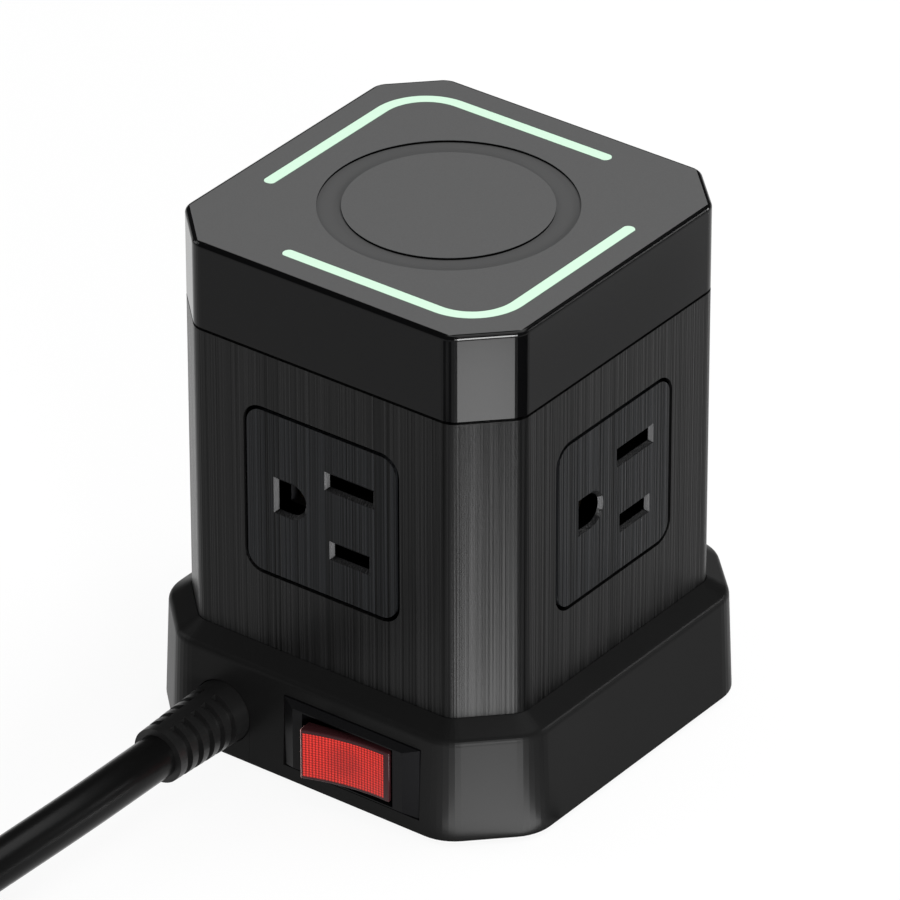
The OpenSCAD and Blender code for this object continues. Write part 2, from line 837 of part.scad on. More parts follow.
// The parts' places are taken from the board's corners
part_inset = 15;
transformer_at = [power_board_w / 2 - part_inset, power_board_d / 2 - 7.8];
bobbin_w = 14;
core_w = 12;
flange_h = 2;
core_h = 7;
module transformer() color("#d8b23a") translate([transformer_at[0], transformer_at[1], parts_z]) {
    translate([-bobbin_w / 2, -bobbin_w / 2, 0]) cube([bobbin_w, bobbin_w, flange_h]);
    translate([-core_w / 2, -core_w / 2, flange_h]) cube([core_w, core_w, core_h]);
    translate([-bobbin_w / 2, -core_w / 3, flange_h]) cube([bobbin_w, core_w * 2 / 3, core_h + 1]);
}

capacitor_at = [part_inset - power_board_w / 2, -power_board_d / 2 + 4.8];
capacitor_r = 4;
capacitor_h = 9.5;
capacitor_pitch = 9;
module capacitors() color("#22356b") for (i = [0:1])
    translate([capacitor_at[0], capacitor_at[1] + i * capacitor_pitch, parts_z]) difference() {
        cylinder(r = capacitor_r, h = capacitor_h);
        translate([0, 0, capacitor_h - 0.2]) box([-capacitor_r / 2, -0.3, 0], [capacitor_r / 2, 0.3, 1]);
    }

varistor_at = [power_board_w / 2 - part_inset + 2, -power_board_d / 2 + 7.8];
varistor_r = 5;
varistor_t = 3.6;
wire_half = 2.5;
module surge_varistor() color("#2c5fa8") translate([varistor_at[0], varistor_at[1], parts_z]) {
    translate([0, varistor_t / 2, varistor_r + 0.5]) rotate([90, 0, 0])
        cylinder(r = varistor_r, h = varistor_t);
    for (x = [-wire_half, wire_half]) translate([x, 0, 0]) cylinder(r = 0.4, h = 3);
}

// Risers that bring the three poles down to the power board
riser_x = [-1, 2];
riser_t = 0.8;
neutral_riser_y = 8.7;
module riser(y, z) {
    box([riser_x[0], y, parts_z], [riser_x[1], y + riser_t, z]);
}

// ---- switch: drawn about the switch's own middle, X across, Z up ----

z_switch = z_base + switch_z;
pocket_wall = 1.85;
pocket_gap = 0.15;
bezel_back = -half_w - base_inner - pocket_wall;
bezel_front = bezel_back - bezel_proud;
bezel_edge = 0.78;
pivot_y = bezel_front + pivot_depth;
opening_w = rocker_w + 2 * rocker_gap_x;
opening_h = rocker_h + 2 * rocker_gap_z;
housing_w = opening_w + 6;
housing_wall = 0.6;
housing_h = opening_h + 2 * housing_wall;
housing_floor = bezel_back + switch_depth - 1.5;
pin_reach = opening_h / 2 + 0.35;
lever_y = pivot_y + 9.4;
lever_tilt = 4;
lever_half = 6;
lever_rise = 0.9;
lever_t = 0.6;
plunger_r = 0.8;
plunger_len = 7.9;
terminal_w = 4.7;
terminal_t = 0.8;
terminal_out = 8;
terminal_pitch = 6.2;

module at_switch(y) {
    translate([switch_x, y, z_switch]) children();
}

module switch_housing() color("#1e1e20") difference() {
    union() {
        hull() {
            at_switch(bezel_back) box(
                [-bezel_w / 2, -bezel_rim, -bezel_h / 2], [bezel_w / 2, 0, bezel_h / 2]
            );
            at_switch(bezel_front) box(
                [-bezel_w / 2 + bezel_slope, 0, -bezel_h / 2 + bezel_edge],
                [bezel_w / 2 - bezel_slope, eps, bezel_h / 2 - bezel_edge]
            );
        }
        at_switch(bezel_back) box(
            [-housing_w / 2, -0.2, -housing_h / 2], [housing_w / 2, switch_depth, housing_h / 2]
        );
    }
    at_switch(0) box(
        [-opening_w / 2, bezel_front - 1, -opening_h / 2], [opening_w / 2, housing_floor, opening_h / 2]
    );
    at_switch(pivot_y) cylinder(r = pin_r + pin_fit, h = 2 * pin_reach + 0.1, center = true);
    for (x = [-terminal_pitch, 0, terminal_pitch]) at_switch(0) box(
        [x - terminal_w / 2 - 0.05, housing_floor - 1, -terminal_t / 2 - 0.05],
        [x + terminal_w / 2 + 0.05, housing_floor + 3, terminal_t / 2 + 0.05]
    );
}

// Extrudes an X, Y outline about the pivot, h tall, at the rocker's rest angle
module rocker_slice(h, angle) {
    rotate(angle) translate([0, 0, -h / 2]) linear_extrude(h) children();
}

dish = rocker_w / 2 * tan(rocker_dish);
dish_r = (pow(rocker_w / 2, 2) + pow(dish, 2)) / (2 * dish);
dish_rim = 0.05;
skirt_end = -1.1;
lens_side = 1;

module rocker_lens() color([0.85, 0.1, 0.1, 0.8]) at_switch(pivot_y) difference() {
    rocker_slice(rocker_h, rocker_tilt) difference() {
        polygon([
            [-rocker_w / 2, -rocker_rise - dish + dish_rim], [rocker_w / 2, -rocker_rise - dish + dish_rim],
            [rocker_w / 2 - 0.15, skirt_end], [-rocker_w / 2 + 0.15, skirt_end]
        ]);
        translate([0, -rocker_rise - dish_r]) circle(r = dish_r, $fn = 360);
    }
    rocker_slice(rocker_h - 2 * lens_wall, rocker_tilt) polygon([
        [-rocker_w / 2 + lens_side, -rocker_rise - dish + lens_wall], [0, -rocker_rise + lens_wall],
        [rocker_w / 2 - lens_side, -rocker_rise - dish + lens_wall],
        [rocker_w / 2 - lens_side, 1], [-rocker_w / 2 + lens_side, 1]
    ]);
}

// Black frame inside the lens: pins at top and bottom, lamp bay in front, plunger tube behind
lamp_bay = 5;
lamp_bay_back = 0.1;
lamp_y = -0.95;
tube_r = 1.9;
tube_len = 6;
tube_floor = 2;
plunger_gap = 0.05;
module rocker_carrier() color("#222222") at_switch(pivot_y) difference() {
    side = rocker_w / 2 - lens_side - fit;
    union() {
        rocker_slice(rocker_h - 2 * lens_wall - fit, rocker_tilt) polygon([
            [-side, -2.1], [side, -2.1], [side, -0.4], [3, 1.6], [-3, 1.6], [-side, -0.4]
        ]);
        cylinder(r = pin_r, h = 2 * pin_reach, center = true);
        rotate(rocker_tilt) rotate([-90, 0, 0]) cylinder(r = tube_r, h = tube_len);
    }
    rotate(rocker_tilt) translate([0, tube_floor, 0]) rotate([-90, 0, 0])
        cylinder(r = plunger_r + plunger_gap, h = tube_len);
    rotate(rocker_tilt) box([-lamp_bay, -3, -rocker_h / 2], [lamp_bay, lamp_bay_back, rocker_h / 2]);
}

module rocker_lamp() color("#e8a060") at_switch(pivot_y) rotate(rocker_tilt)
    translate([0, lamp_y, 0]) rotate([0, 90, 0]) cylinder(r = 1, h = 2 * lamp_bay - 2, center = true);

// Pushed out by its spring, the round tip slides along the contact lever
plunger_tail = 4.4;
module rocker_plunger() color("#c8c8c8") at_switch(pivot_y) rotate(rocker_tilt) {
    translate([0, plunger_tail, 0]) rotate([-90, 0, 0])
        cylinder(r = plunger_r, h = plunger_len - plunger_tail);
    translate([0, plunger_len, 0]) sphere(r = plunger_r);
}

spring_wire = 0.2;
spring_r = 0.5;
spring_turns = 4;
turn_sides = 8;
module plunger_spring() color("silver") at_switch(pivot_y) rotate(rocker_tilt) {
    y0 = tube_floor + spring_wire + 0.05;
    y1 = plunger_tail - spring_wire - 0.05;
    n = spring_turns * turn_sides;
    route = [for (i = [0:n]) let (a = 360 * i / turn_sides)
        [spring_r * cos(a), y0 + (y1 - y0) * i / n, spring_r * sin(a)]];
    sweep(route, spring_wire, 6, [0, 1, 0]);
}

// Bent copper seesaw with a barrel at its middle and one contact button
lever_w = 4.4;
barrel_r = 0.6;
button_at = 5.2;
button_r = 1;
module contact_lever() color("#c58b4a") at_switch(lever_y) {
    end = -lever_rise;
    t = lever_t / 2;
    rocker_slice(lever_w, -lever_tilt) polygon([
        [-lever_half, end - t], [0, -t], [lever_half, end - t],
        [lever_half, end + t], [0, t], [-lever_half, end + t]
    ]);
    cylinder(r = barrel_r, h = lever_w, center = true);
    rotate(-lever_tilt) translate([-button_at, -0.5, 0]) rotate([-90, 0, 0]) cylinder(r = button_r, h = 1.2);
}

// Spade terminal with a pad inside the housing
pad_w = 3.2;
pad_h = 4;
module terminal(x, y) {
    at_switch(0) {
        box(
            [x - terminal_w / 2, y, -terminal_t / 2],
            [x + terminal_w / 2, bezel_back + switch_depth + terminal_out, terminal_t / 2]
        );
        box([x - pad_w / 2, y, -pad_h / 2], [x + pad_w / 2, y + terminal_t, pad_h / 2]);
    }
}

// The middle terminal carries the lever's barrel in a round groove
cradle_gap = 0.05;
module switch_terminal_line() color("#c9a227") difference() {
    terminal(0, lever_y + 0.4);
    at_switch(lever_y) cylinder(r = barrel_r + cradle_gap, h = pad_h + 1, center = true);
}

module switch_terminal_load() color("#c9a227") terminal(-terminal_pitch, lever_y + 1.6);

module switch_terminal_lamp() color("#c9a227") terminal(terminal_pitch, lever_y + 3);

// ---- strain relief, leads and cord ----

z_cord = z_base + cord_z;
relief_wall = -half_w - base_flare + wall_slope * cord_z;
relief_end = relief_wall - relief_len;
relief_inner = -half_w - base_inner;
relief_flange_t = 2;
relief_back = relief_inner + relief_flange_t;
relief_flange = 6.4;
first_groove = 3.8;
rib_w = 2.2;

module strain_relief() color("#141414") difference() {
    union() {
        translate([cord_x, relief_wall, z_cord]) rotate([90, 0, 0])
            cylinder(r1 = relief_r, r2 = relief_tip_r, h = relief_len);
        rod_y(cord_x, z_cord, relief_r, relief_wall - 0.1, relief_inner);
        box(
            [cord_x - relief_flange, relief_inner, z_base + plate_t + fit],
            [cord_x + relief_flange, relief_back, z_cord + relief_flange]
        );
    }
    for (i = [0:relief_grooves - 1]) {
        y = relief_wall - first_groove - i * groove_pitch;
        r = relief_r + (relief_tip_r - relief_r) * (first_groove + i * groove_pitch) / relief_len;
        difference() {
            rod_y(cord_x, z_cord, relief_r + 1, y - groove_w / 2, y + groove_w / 2);
            rod_y(cord_x, z_cord, r - groove_d, y - groove_w, y + groove_w);
            box(
                [cord_x - rib_w / 2, y - groove_w, z_cord - relief_r - 2],
                [cord_x + rib_w / 2, y + groove_w, z_cord + relief_r + 2]
            );
        }
    }
}

// A tube of radius r along a list of points, with n sides, closed at both ends.
// across is a direction that the route never runs along.
function unit(v) = v / norm(v);
function heading(p, i) = unit(p[min(i + 1, len(p) - 1)] - p[max(i - 1, 0)]);

module sweep(p, r, n, across = [0, 0, 1]) {
    rings = [for (i = [0:len(p) - 1])
        let (
            d = heading(p, i),
            side = unit(cross(d, across)),
            up = cross(side, d)
        )
        for (k = [0:n - 1]) p[i] + r * (cos(360 * k / n) * side + sin(360 * k / n) * up)];
    faces = concat(
        [[for (k = [n - 1:-1:0]) k]],
        [for (i = [0:len(p) - 2], k = [0:n - 1]) [i * n + k, i * n + (k + 1) % n, (i + 1) * n + (k + 1) % n]],
        [for (i = [0:len(p) - 2], k = [0:n - 1]) [i * n + k, (i + 1) * n + (k + 1) % n, (i + 1) * n + k]],
        [[for (k = [0:n - 1]) (len(p) - 1) * n + k]]
    );
    polyhedron(rings, faces, convexity = 6);
}

lead_r = 1.2;
lead_split = 1.7;
lead_end_y = bezel_back + switch_depth + terminal_out + 0.05;
live_x = cord_x + lead_split;
neutral_x = cord_x - lead_split;
load_x = switch_x - terminal_pitch;
hot_route = [
    [live_x, relief_back, z_cord + 1], [live_x, relief_back + 4, z_cord + 1], [-14.4, -24, 9.7],
    [-10.5, -18.5, 9.8], [-5.5, -12.5, 9.9], [0, lead_end_y + 4.8, 9.9], [5.5, lead_end_y + 6, 9.9],
    [switch_x, lead_end_y + 4.6, z_switch], [switch_x, lead_end_y + 2.2, z_switch],
    [switch_x, lead_end_y, z_switch]
];
switched_route = [
    [load_x, lead_end_y, z_switch], [load_x, lead_end_y + 1.2, z_switch], [2.4, lead_end_y + 3, 11.2],
    [1.6, lead_end_y + 4, 13.6], [0.6, lead_end_y + 4.6, 16.4], [0, lead_end_y + 4.8, 19.4],
    [0, lead_end_y + 4.8, power_board_z]
];
neutral_end_x = part_inset + 3 - power_board_w / 2;
neutral_route = [
    [neutral_x, relief_back, z_cord + 1], [neutral_x, relief_back + 4, z_cord + 1], [-19.4, -22, 9.8],
    [-17.6, -15, 10.6], [-14, -8, 12.4], [-10.6, -3, 15.2], [neutral_end_x, 1, 18.8],
    [neutral_end_x, 1, power_board_z]
];
ground_route = [
    [cord_x, relief_back, z_cord - 2], [cord_x, relief_back + 4, z_cord - 2], [-17, -22, 6.4],
    [-14.6, -14, 6.8], [-11, -6, 8], [-6.6, 2, 10.4], [-3, 7, 14], [-1, 9, 18.6], [-1, 9, power_board_z]
];

module hot_lead() color("#111111") sweep(hot_route, lead_r, 8);

module switched_lead() color("#111111") sweep(switched_route, lead_r, 8, [1, 0, 0]);

module neutral_lead() color("#dddddd") sweep(neutral_route, lead_r, 8, [1, -0.6, 0]);

module ground_lead() color("#2f8f3f") sweep(ground_route, lead_r, 8, [1, -0.6, 0]);

// Midway between the USB board and the front and back carriers
charger_lead_x = (usb_board_y + board_t - carrier_w / 2) / 2;
charger_lead_r = 1;
charger_lead_route = [
    [charger_lead_x, 0, parts_z], [charger_lead_x, 0, 30], [charger_lead_x + 0.4, 0.6, 46],
    [charger_lead_x + 0.4, 0.8, 58], [charger_lead_x + 0.2, 0.6, 70], [charger_lead_x, 0, 80],
    [charger_lead_x, 0, charger_z]
];

module charger_lead() color("#7a2020") sweep(charger_lead_route, charger_lead_r, 8, [1, 0, 0]);

// Route of the cord from the strain relief to the coil, then from the coil to the plug
cord_route = [
    [cord_x, relief_end, z_cord], [cord_x, -63, z_cord], [-17.9, -71, 8.3], [-18.5, -79, 7.8],
    [-19.4, -87, 7.1], [-20.5, -95, 6.2], [-21.7, -103, 5.2], [-22.9, -111, 4.4],
    [-23.8, -119.5, 3.9], [-24.8, -129, 3.75], [-26.5, -138, 3.75]
];
coil_at = [18, -170];
coil_turns_w = 4.5;
coil_layers = 2;
tail_route = [
    [-28.8, -191.2, 15.4], [-23.7, -197.8, 18.2], [-17.1, -202.9, 21.4], [-9.4, -206.1, 24.5],
    [-2, -207.2, 26.6], [2, -207.2, 27], [6, -207.2, 27]
];

module power_cord() color("#0c0c0c") sweep(cord_route, cord_d / 2, 12);

module cord_coil() color("#0c0c0c") translate([coil_at[0], coil_at[1], 0]) rotate_extrude($fn = 96)
    translate([coil_mid_r - 2 * cord_d, 0]) square([coil_turns_w * cord_d, coil_layers * cord_d]);

module cord_tail() color("#0c0c0c") sweep(tail_route, cord_d / 2, 12);

// ---- plug, lying on the coil: drawn with its blades towards +Y, then turned towards +X ----

plug_sleeve = 22;
plug_len = 30;
plug_w = 26;
plug_h = 24;
plug_r = 4;
plug_face = plug_sleeve + plug_len;
sleeve_r = 4.9;
sleeve_root_r = 6.5;
blade_len = 17.5;
blade_w = 6.3;
blade_t = 1.5;
blade_in = 6;
blade_eye_in = 4;
blade_eye_d = 3;
pin_len = 20.6;
pin_d = 4.75;
pin_drop = 11.9;
blade_up = 4.4;
plug_at = tail_route[len(tail_route) - 1];

module at_plug() {
    translate(plug_at) rotate(-90) children();
}

module plug_body() color("#101010") at_plug() difference() {
    union() {
        rotate([-90, 0, 0]) cylinder(r1 = sleeve_r, r2 = sleeve_root_r, h = plug_sleeve + root);
        translate([0, plug_face, 0]) rotate([90, 0, 0]) linear_extrude(plug_len)
            round_rect(plug_w, plug_h, plug_r);
    }
    for (x = [-1, 1]) box(
        [x * blade_pitch / 2 - blade_t / 2, plug_face - blade_in, blade_up - blade_w / 2],
        [x * blade_pitch / 2 + blade_t / 2, plug_face + 1, blade_up + blade_w / 2]
    );
    translate([0, plug_face - blade_in, blade_up - pin_drop]) rotate([-90, 0, 0])
        cylinder(d = pin_d, h = blade_in + 1);
}

module plug_blade(x) {
    at_plug() difference() {
        box(
            [x - blade_t / 2, plug_face - blade_in, blade_up - blade_w / 2],
            [x + blade_t / 2, plug_face + blade_len, blade_up + blade_w / 2]
        );
        translate([x - blade_t, plug_face + blade_len - blade_eye_in, blade_up]) rotate([0, 90, 0])
            cylinder(d = blade_eye_d, h = 2 * blade_t);
    }
}

module plug_hot_blade() color("silver") plug_blade(-blade_pitch / 2);

module plug_neutral_blade() color("silver") plug_blade(blade_pitch / 2);

module plug_ground_pin() color("silver") at_plug() translate([0, plug_face, blade_up - pin_drop]) {
    translate([0, -blade_in, 0]) rotate([-90, 0, 0]) cylinder(d = pin_d, h = blade_in + pin_len - pin_d / 2);
    translate([0, pin_len - pin_d / 2, 0]) sphere(d = pin_d);
}

rubber_feet();
bottom_plate();
bottom_screws();
base_shell();
cord_gate();
body_shell();
tie_screws();
top_cap();
light_strip_near();
light_strip_far();
charging_coil();
ferrite_disc();
charger_board();
board_screws();
strip_leds();
outlet_face_front();
outlet_face_right();
outlet_face_back();
outlet_carrier_front();
outlet_carrier_right();
outlet_carrier_back();
hot_strip();
neutral_strip();
ground_strip();
usb_face();
usb_board();
usb_a_shell_upper();
usb_a_core_upper();
usb_a_shell_middle();
usb_a_core_middle();
usb_c_shell();
usb_c_core();
power_board();
transformer();
capacitors();
surge_varistor();
switch_housing();
rocker_lens();
rocker_carrier();
rocker_lamp();
rocker_plunger();
plunger_spring();
contact_lever();
switch_terminal_line();
switch_terminal_load();
switch_terminal_lamp();
strain_relief();
hot_lead();
switched_lead();
neutral_lead();
ground_lead();
charger_lead();
power_cord();
cord_coil();
cord_tail();
plug_body();
plug_hot_blade();
plug_neutral_blade();
plug_ground_pin();
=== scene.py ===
import json
import math

import bmesh
import bpy
from mathutils import Matrix, Vector
from mathutils.bvhtree import BVHTree

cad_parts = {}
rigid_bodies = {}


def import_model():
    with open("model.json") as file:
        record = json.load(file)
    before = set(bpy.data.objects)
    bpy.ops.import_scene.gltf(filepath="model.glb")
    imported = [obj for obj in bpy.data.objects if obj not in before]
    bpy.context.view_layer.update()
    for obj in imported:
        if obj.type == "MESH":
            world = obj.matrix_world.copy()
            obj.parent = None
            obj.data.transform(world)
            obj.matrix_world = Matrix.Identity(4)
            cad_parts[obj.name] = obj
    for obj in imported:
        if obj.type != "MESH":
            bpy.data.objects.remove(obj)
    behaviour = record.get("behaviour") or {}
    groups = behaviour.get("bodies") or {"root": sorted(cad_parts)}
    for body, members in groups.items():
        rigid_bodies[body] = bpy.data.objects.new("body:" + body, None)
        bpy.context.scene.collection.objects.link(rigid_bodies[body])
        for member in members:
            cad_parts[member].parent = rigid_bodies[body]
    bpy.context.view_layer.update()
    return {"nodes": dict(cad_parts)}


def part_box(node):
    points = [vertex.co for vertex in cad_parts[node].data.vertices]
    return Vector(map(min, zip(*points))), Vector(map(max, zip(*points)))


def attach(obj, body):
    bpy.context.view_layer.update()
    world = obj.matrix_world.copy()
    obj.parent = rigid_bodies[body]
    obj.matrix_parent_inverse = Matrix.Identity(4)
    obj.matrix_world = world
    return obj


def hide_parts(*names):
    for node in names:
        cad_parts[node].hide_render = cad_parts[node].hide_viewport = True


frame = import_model()
nodes = frame["nodes"]


# ---- Camera ----
# A long lens, looking down at the corner between the switch side and the right outlet side.
# Its place comes from the tower's straight edges in the photograph, and these points hold it there.
photo_w, photo_h = 900, 900
image_points = {
    "object_left": (164.5, None), "object_right": (731.5, None),
    "object_top": (None, 79.5), "object_bottom": (None, 839.5),
    "near_strip_left": (283, 250), "near_strip_right": (633, 227), "near_strip_corner": (473, 317),
    "far_strip_left": (266, 179.5), "far_strip_right": (610, 157), "far_strip_corner": (424, 94),
    "front_panel_left": (248, None), "front_panel_right": (396, None),
    "right_panel_left": (558.2, None), "right_panel_right": (667.6, None),
    "bezel_top_left": (284.6, 694.9), "bezel_right": (420.1, 750.9),
    "relief_end": (134.5, 741.5), "lamp_bay": (345, 762.5),
}
lens_mm, sensor_mm = 350.15, 36.0
shift_x, shift_y = 0.0, 0.0
camera_at = Vector((0.73752, -0.97785, 0.78242))
camera_aim = Vector((0.001805, -0.002107, 0.04799))
camera_roll = math.radians(-0.063)


def put(name, data):
    """Adds an object with this data to the scene."""
    placed = bpy.data.objects.new(name, data)
    bpy.context.scene.collection.objects.link(placed)
    return placed


def face_from(at, aim):
    """The placement of a camera or lamp that stands at one point and looks at another."""
    return Matrix.Translation(at) @ (aim - at).to_track_quat("-Z", "Y").to_matrix().to_4x4()


camera_data = bpy.data.cameras.new("camera")
camera_data.lens = lens_mm
camera_data.sensor_width = sensor_mm
camera_data.sensor_fit = "AUTO"
camera_data.shift_x, camera_data.shift_y = shift_x, shift_y
camera_data.clip_end = 20
camera = put("camera", camera_data)
camera.matrix_world = face_from(camera_at, camera_aim) @ Matrix.Rotation(camera_roll, 4, "Z")
bpy.context.scene.camera = camera
bpy.context.scene.view_settings.view_transform = "Standard"


# ---- Cord ----
# One round three-core mains cord, 7.5 mm thick and 1.73 m long, in an extruded jacket of soft PVC.
# It leaves the strain relief, lies on the table, and is put away in a flat coil under a tie.
cord_d = 0.0075
cord_exit = (-0.0176, -0.05516, 0.0086)
coil_mid = Vector((0.018, -0.17, 0))
coil_entry = math.radians(165)
coil_low, coil_high = cord_d / 2, cord_d * 1.5
outer_turn, inner_turn = 0.05225, 0.02975
layer_turns, turn_steps = 3, 16
# Both rises are counted in turns: where each starts and how long it takes.
climb_start, climb_turns = 2.7, 0.6
lift_start, lift_turns, lift = 5.75, 0.25, 0.0016

cord_points = [
    cord_exit, (-0.0176, -0.063, 0.0086), (-0.0179, -0.071, 0.0083), (-0.0185, -0.079, 0.0078),
    (-0.0194, -0.087, 0.0071), (-0.0205, -0.095, 0.0062), (-0.0217, -0.103, 0.0052),
    (-0.0229, -0.111, 0.0044), (-0.0238, -0.1195, 0.0039), (-0.0248, -0.129, coil_low),
    (-0.0265, -0.138, coil_low),
]


def ease(value):
    """Goes smoothly from 0 to 1 while value does."""
    held = min(max(value, 0), 1)
    return held * held * (3 - 2 * held)


# Three turns inwards on the table, three turns outwards on top of them, then up to the plug.
for i in range(2 * layer_turns * turn_steps + 1):
    t = i / turn_steps
    r = outer_turn - cord_d * t if t < layer_turns else inner_turn + cord_d * (t - layer_turns)
    z = coil_low + (coil_high - coil_low) * ease((t - climb_start) / climb_turns)
    z += lift * ease((t - lift_start) / lift_turns)
    a = coil_entry + 2 * math.pi * t
    cord_points.append((coil_mid.x + r * math.cos(a), coil_mid.y + r * math.sin(a), z))
cord_points += [
    (-0.0324, -0.1832, 0.0143), (-0.0288, -0.1912, 0.0156), (-0.0237, -0.1978, 0.0182),
    (-0.0171, -0.2029, 0.0214), (-0.0094, -0.2061, 0.0245), (-0.002, -0.2072, 0.0266),
    (0.002, -0.2072, 0.027), (0.006, -0.2072, 0.027),
]

line = bpy.data.curves.new("mains_cord", "CURVE")
line.dimensions = "3D"
# Blender's box round a curve takes in each point's radius, so the radius holds the thickness.
line.bevel_depth = 1
line.bevel_resolution = 6
line.resolution_u = 6
line.use_fill_caps = True
spline = line.splines.new("BEZIER")
spline.bezier_points.add(len(cord_points) - 1)
for knot, point in zip(spline.bezier_points, cord_points):
    knot.co, knot.radius = point, cord_d / 2
    knot.handle_left_type = knot.handle_right_type = "AUTO"
cord = put("mains_cord", line)
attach(cord, "tower")
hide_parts("power_cord", "cord_coil", "cord_tail")


def new_material(name):
    made = bpy.data.materials.new(name)
    made.use_nodes = True
    return made, made.node_tree, made.node_tree.nodes["Principled BSDF"]


def connect(tree, value, socket):
    """Links another node's output to a socket, or sets the socket to a plain value."""
    if isinstance(value, bpy.types.NodeSocket):
        tree.links.new(value, socket)
    else:
        socket.default_value = value


def feed(tree, node, **inputs):
    """Connects a node's inputs by name, with _ for each space in the name."""
    for label, value in inputs.items():
        connect(tree, value, node.inputs[label.replace("_", " ")])


def calc(tree, operation, *values):
    """One Math node, whose values are numbers or other nodes' outputs."""
    step = tree.nodes.new("ShaderNodeMath")
    step.operation = operation
    for socket, value in zip(step.inputs, values):
        connect(tree, value, socket)
    return step.outputs[0]


def spread(tree, value, start=0, end=1, low=0, high=1, ramp="LINEAR"):
    """Goes from low to high while value goes from start to end."""
    node = tree.nodes.new("ShaderNodeMapRange")
    node.interpolation_type = ramp
    feed(tree, node, Value=value, From_Min=start, From_Max=end, To_Min=low, To_Max=high)
    return node.outputs["Result"]


def mix_colours(tree, factor, low, high):
    """Goes from one colour to another while factor goes from 0 to 1."""
    node = tree.nodes.new("ShaderNodeMix")
    node.data_type = "RGBA"
    ends = [end if isinstance(end, bpy.types.NodeSocket) else (*end, 1) for end in (low, high)]
    feed(tree, node, Factor=factor, A=ends[0], B=ends[1])
    return node.outputs["Result"]


def new_group(name, inputs, outputs):
    group = bpy.data.node_groups.new(name, "ShaderNodeTree")
    for label, kind, value in inputs:
        group.interface.new_socket(label, in_out="INPUT", socket_type=kind).default_value = value
    for label in outputs:
        group.interface.new_socket(label, in_out="OUTPUT", socket_type="NodeSocketFloat")
    return group, group.nodes.new("NodeGroupInput"), group.nodes.new("NodeGroupOutput")


def use_group(tree, group, **inputs):
    effect = tree.nodes.new("ShaderNodeGroup")
    effect.node_tree = group
    feed(tree, effect, **inputs)
    return effect.outputs


def add_bump(tree, shader, height, strength, distance):
    bump = tree.nodes.new("ShaderNodeBump")
    feed(tree, bump, Height=height, Strength=strength, Distance=distance)
    feed(tree, shader, Normal=bump.outputs["Normal"])


# Fine grain of a moulded surface: Size is the grain in metres, Patch the size of the slow mottling.
grain, grain_in, grain_out = new_group(
    "moulded_grain", [("Size", "NodeSocketFloat", 0.0003), ("Patch", "NodeSocketFloat", 0.02)],
    ["Grain", "Mottle"],
)
grain_place = grain.nodes.new("ShaderNodeTexCoord")
for source, label, detail in (("Size", "Grain", 2), ("Patch", "Mottle", 4)):
    noise = grain.nodes.new("ShaderNodeTexNoise")
    per_metre = calc(grain, "DIVIDE", 1, grain_in.outputs[source])
    feed(grain, noise, Vector=grain_place.outputs["Object"], Scale=per_metre, Detail=detail)
    connect(grain, noise.outputs["Fac"], grain_out.inputs[label])

rough_vary, grain_height = 0.1, 0.001


def moulded(name, colour, roughness, specular=0.5, vary=0.12, size=0.00025, patch=0.02, depth=0.01, sheen=0):
    """A moulded or rolled material: one colour with slow mottling, and a fine grain in its height."""
    made, tree, shader = new_material(name)
    effect = use_group(tree, grain, Size=size, Patch=patch)
    darker, lighter = [c * (1 - vary) for c in colour], [min(c * (1 + vary), 1) for c in colour]
    tint = mix_colours(tree, effect["Mottle"], darker, lighter)
    rough = spread(tree, effect["Mottle"], low=roughness * (1 - rough_vary),
                   high=min(roughness * (1 + rough_vary), 1))
    add_bump(tree, shader, effect["Grain"], depth, grain_height)
    feed(tree, shader, Base_Color=tint, Roughness=rough, Specular_IOR_Level=specular, Sheen_Weight=sheen)
    return made


def finish_nodes(made, *names):
    for name in names:
        nodes[name].data.materials.clear()
        nodes[name].data.materials.append(made)


cord_black = moulded("cord_jacket", (0.0025, 0.0025, 0.0025), roughness=0.3, specular=0.1,
                     size=0.0006, depth=0.02)
cord.data.materials.append(cord_black)


# ---- Cord tie ----
# A hook-and-loop strap of woven nylon, 12 mm wide, wound round one side of the coil.
# Its end lies flat over the start, and it holds the turns beside and on each other.
tie_w, tie_t = 0.012, 0.0006
tie_at = math.radians(60)
# The turns of the upper layer lie 3 mm further out than those of the lower one.
tie_near, tie_far, tie_lean = 0.0278, 0.0512, 0.003
tie_clear = 0.0001
tie_low, tie_high = tie_t / 2 + tie_clear, 0.0155
tie_corner, corner_points, corner_step = 0.0036, 7, 15
# The strap starts at point lap_start of its outline, and goes round again as far as lap_end.
lap_start, lap_end = 5, 9
# The last lap_points of the outline lie on the strap's start, and the first few of them climb on to it.
lap_points, lap_climb, lap_height = 8, 3, 1.15 * tie_t

outline = []
for edge_r, edge_z, start in ((tie_far + tie_lean, tie_high, 0), (tie_near + tie_lean, tie_high, 90),
                              (tie_near, tie_low, 180), (tie_far, tie_low, 270)):
    mid_r = edge_r - tie_corner * (1 if edge_r >= tie_far else -1)
    mid_z = edge_z - tie_corner * (1 if edge_z == tie_high else -1)
    for k in range(corner_points):
        a = math.radians(start + corner_step * k)
        outline.append((mid_r + tie_corner * math.cos(a), mid_z + tie_corner * math.sin(a)))
outline = outline[lap_start:] + outline[:lap_end]
for k in range(lap_points):
    r, z = outline[k - lap_points]
    outline[k - lap_points] = (r, z + min(tie_t * (k + 1) / lap_climb, lap_height))

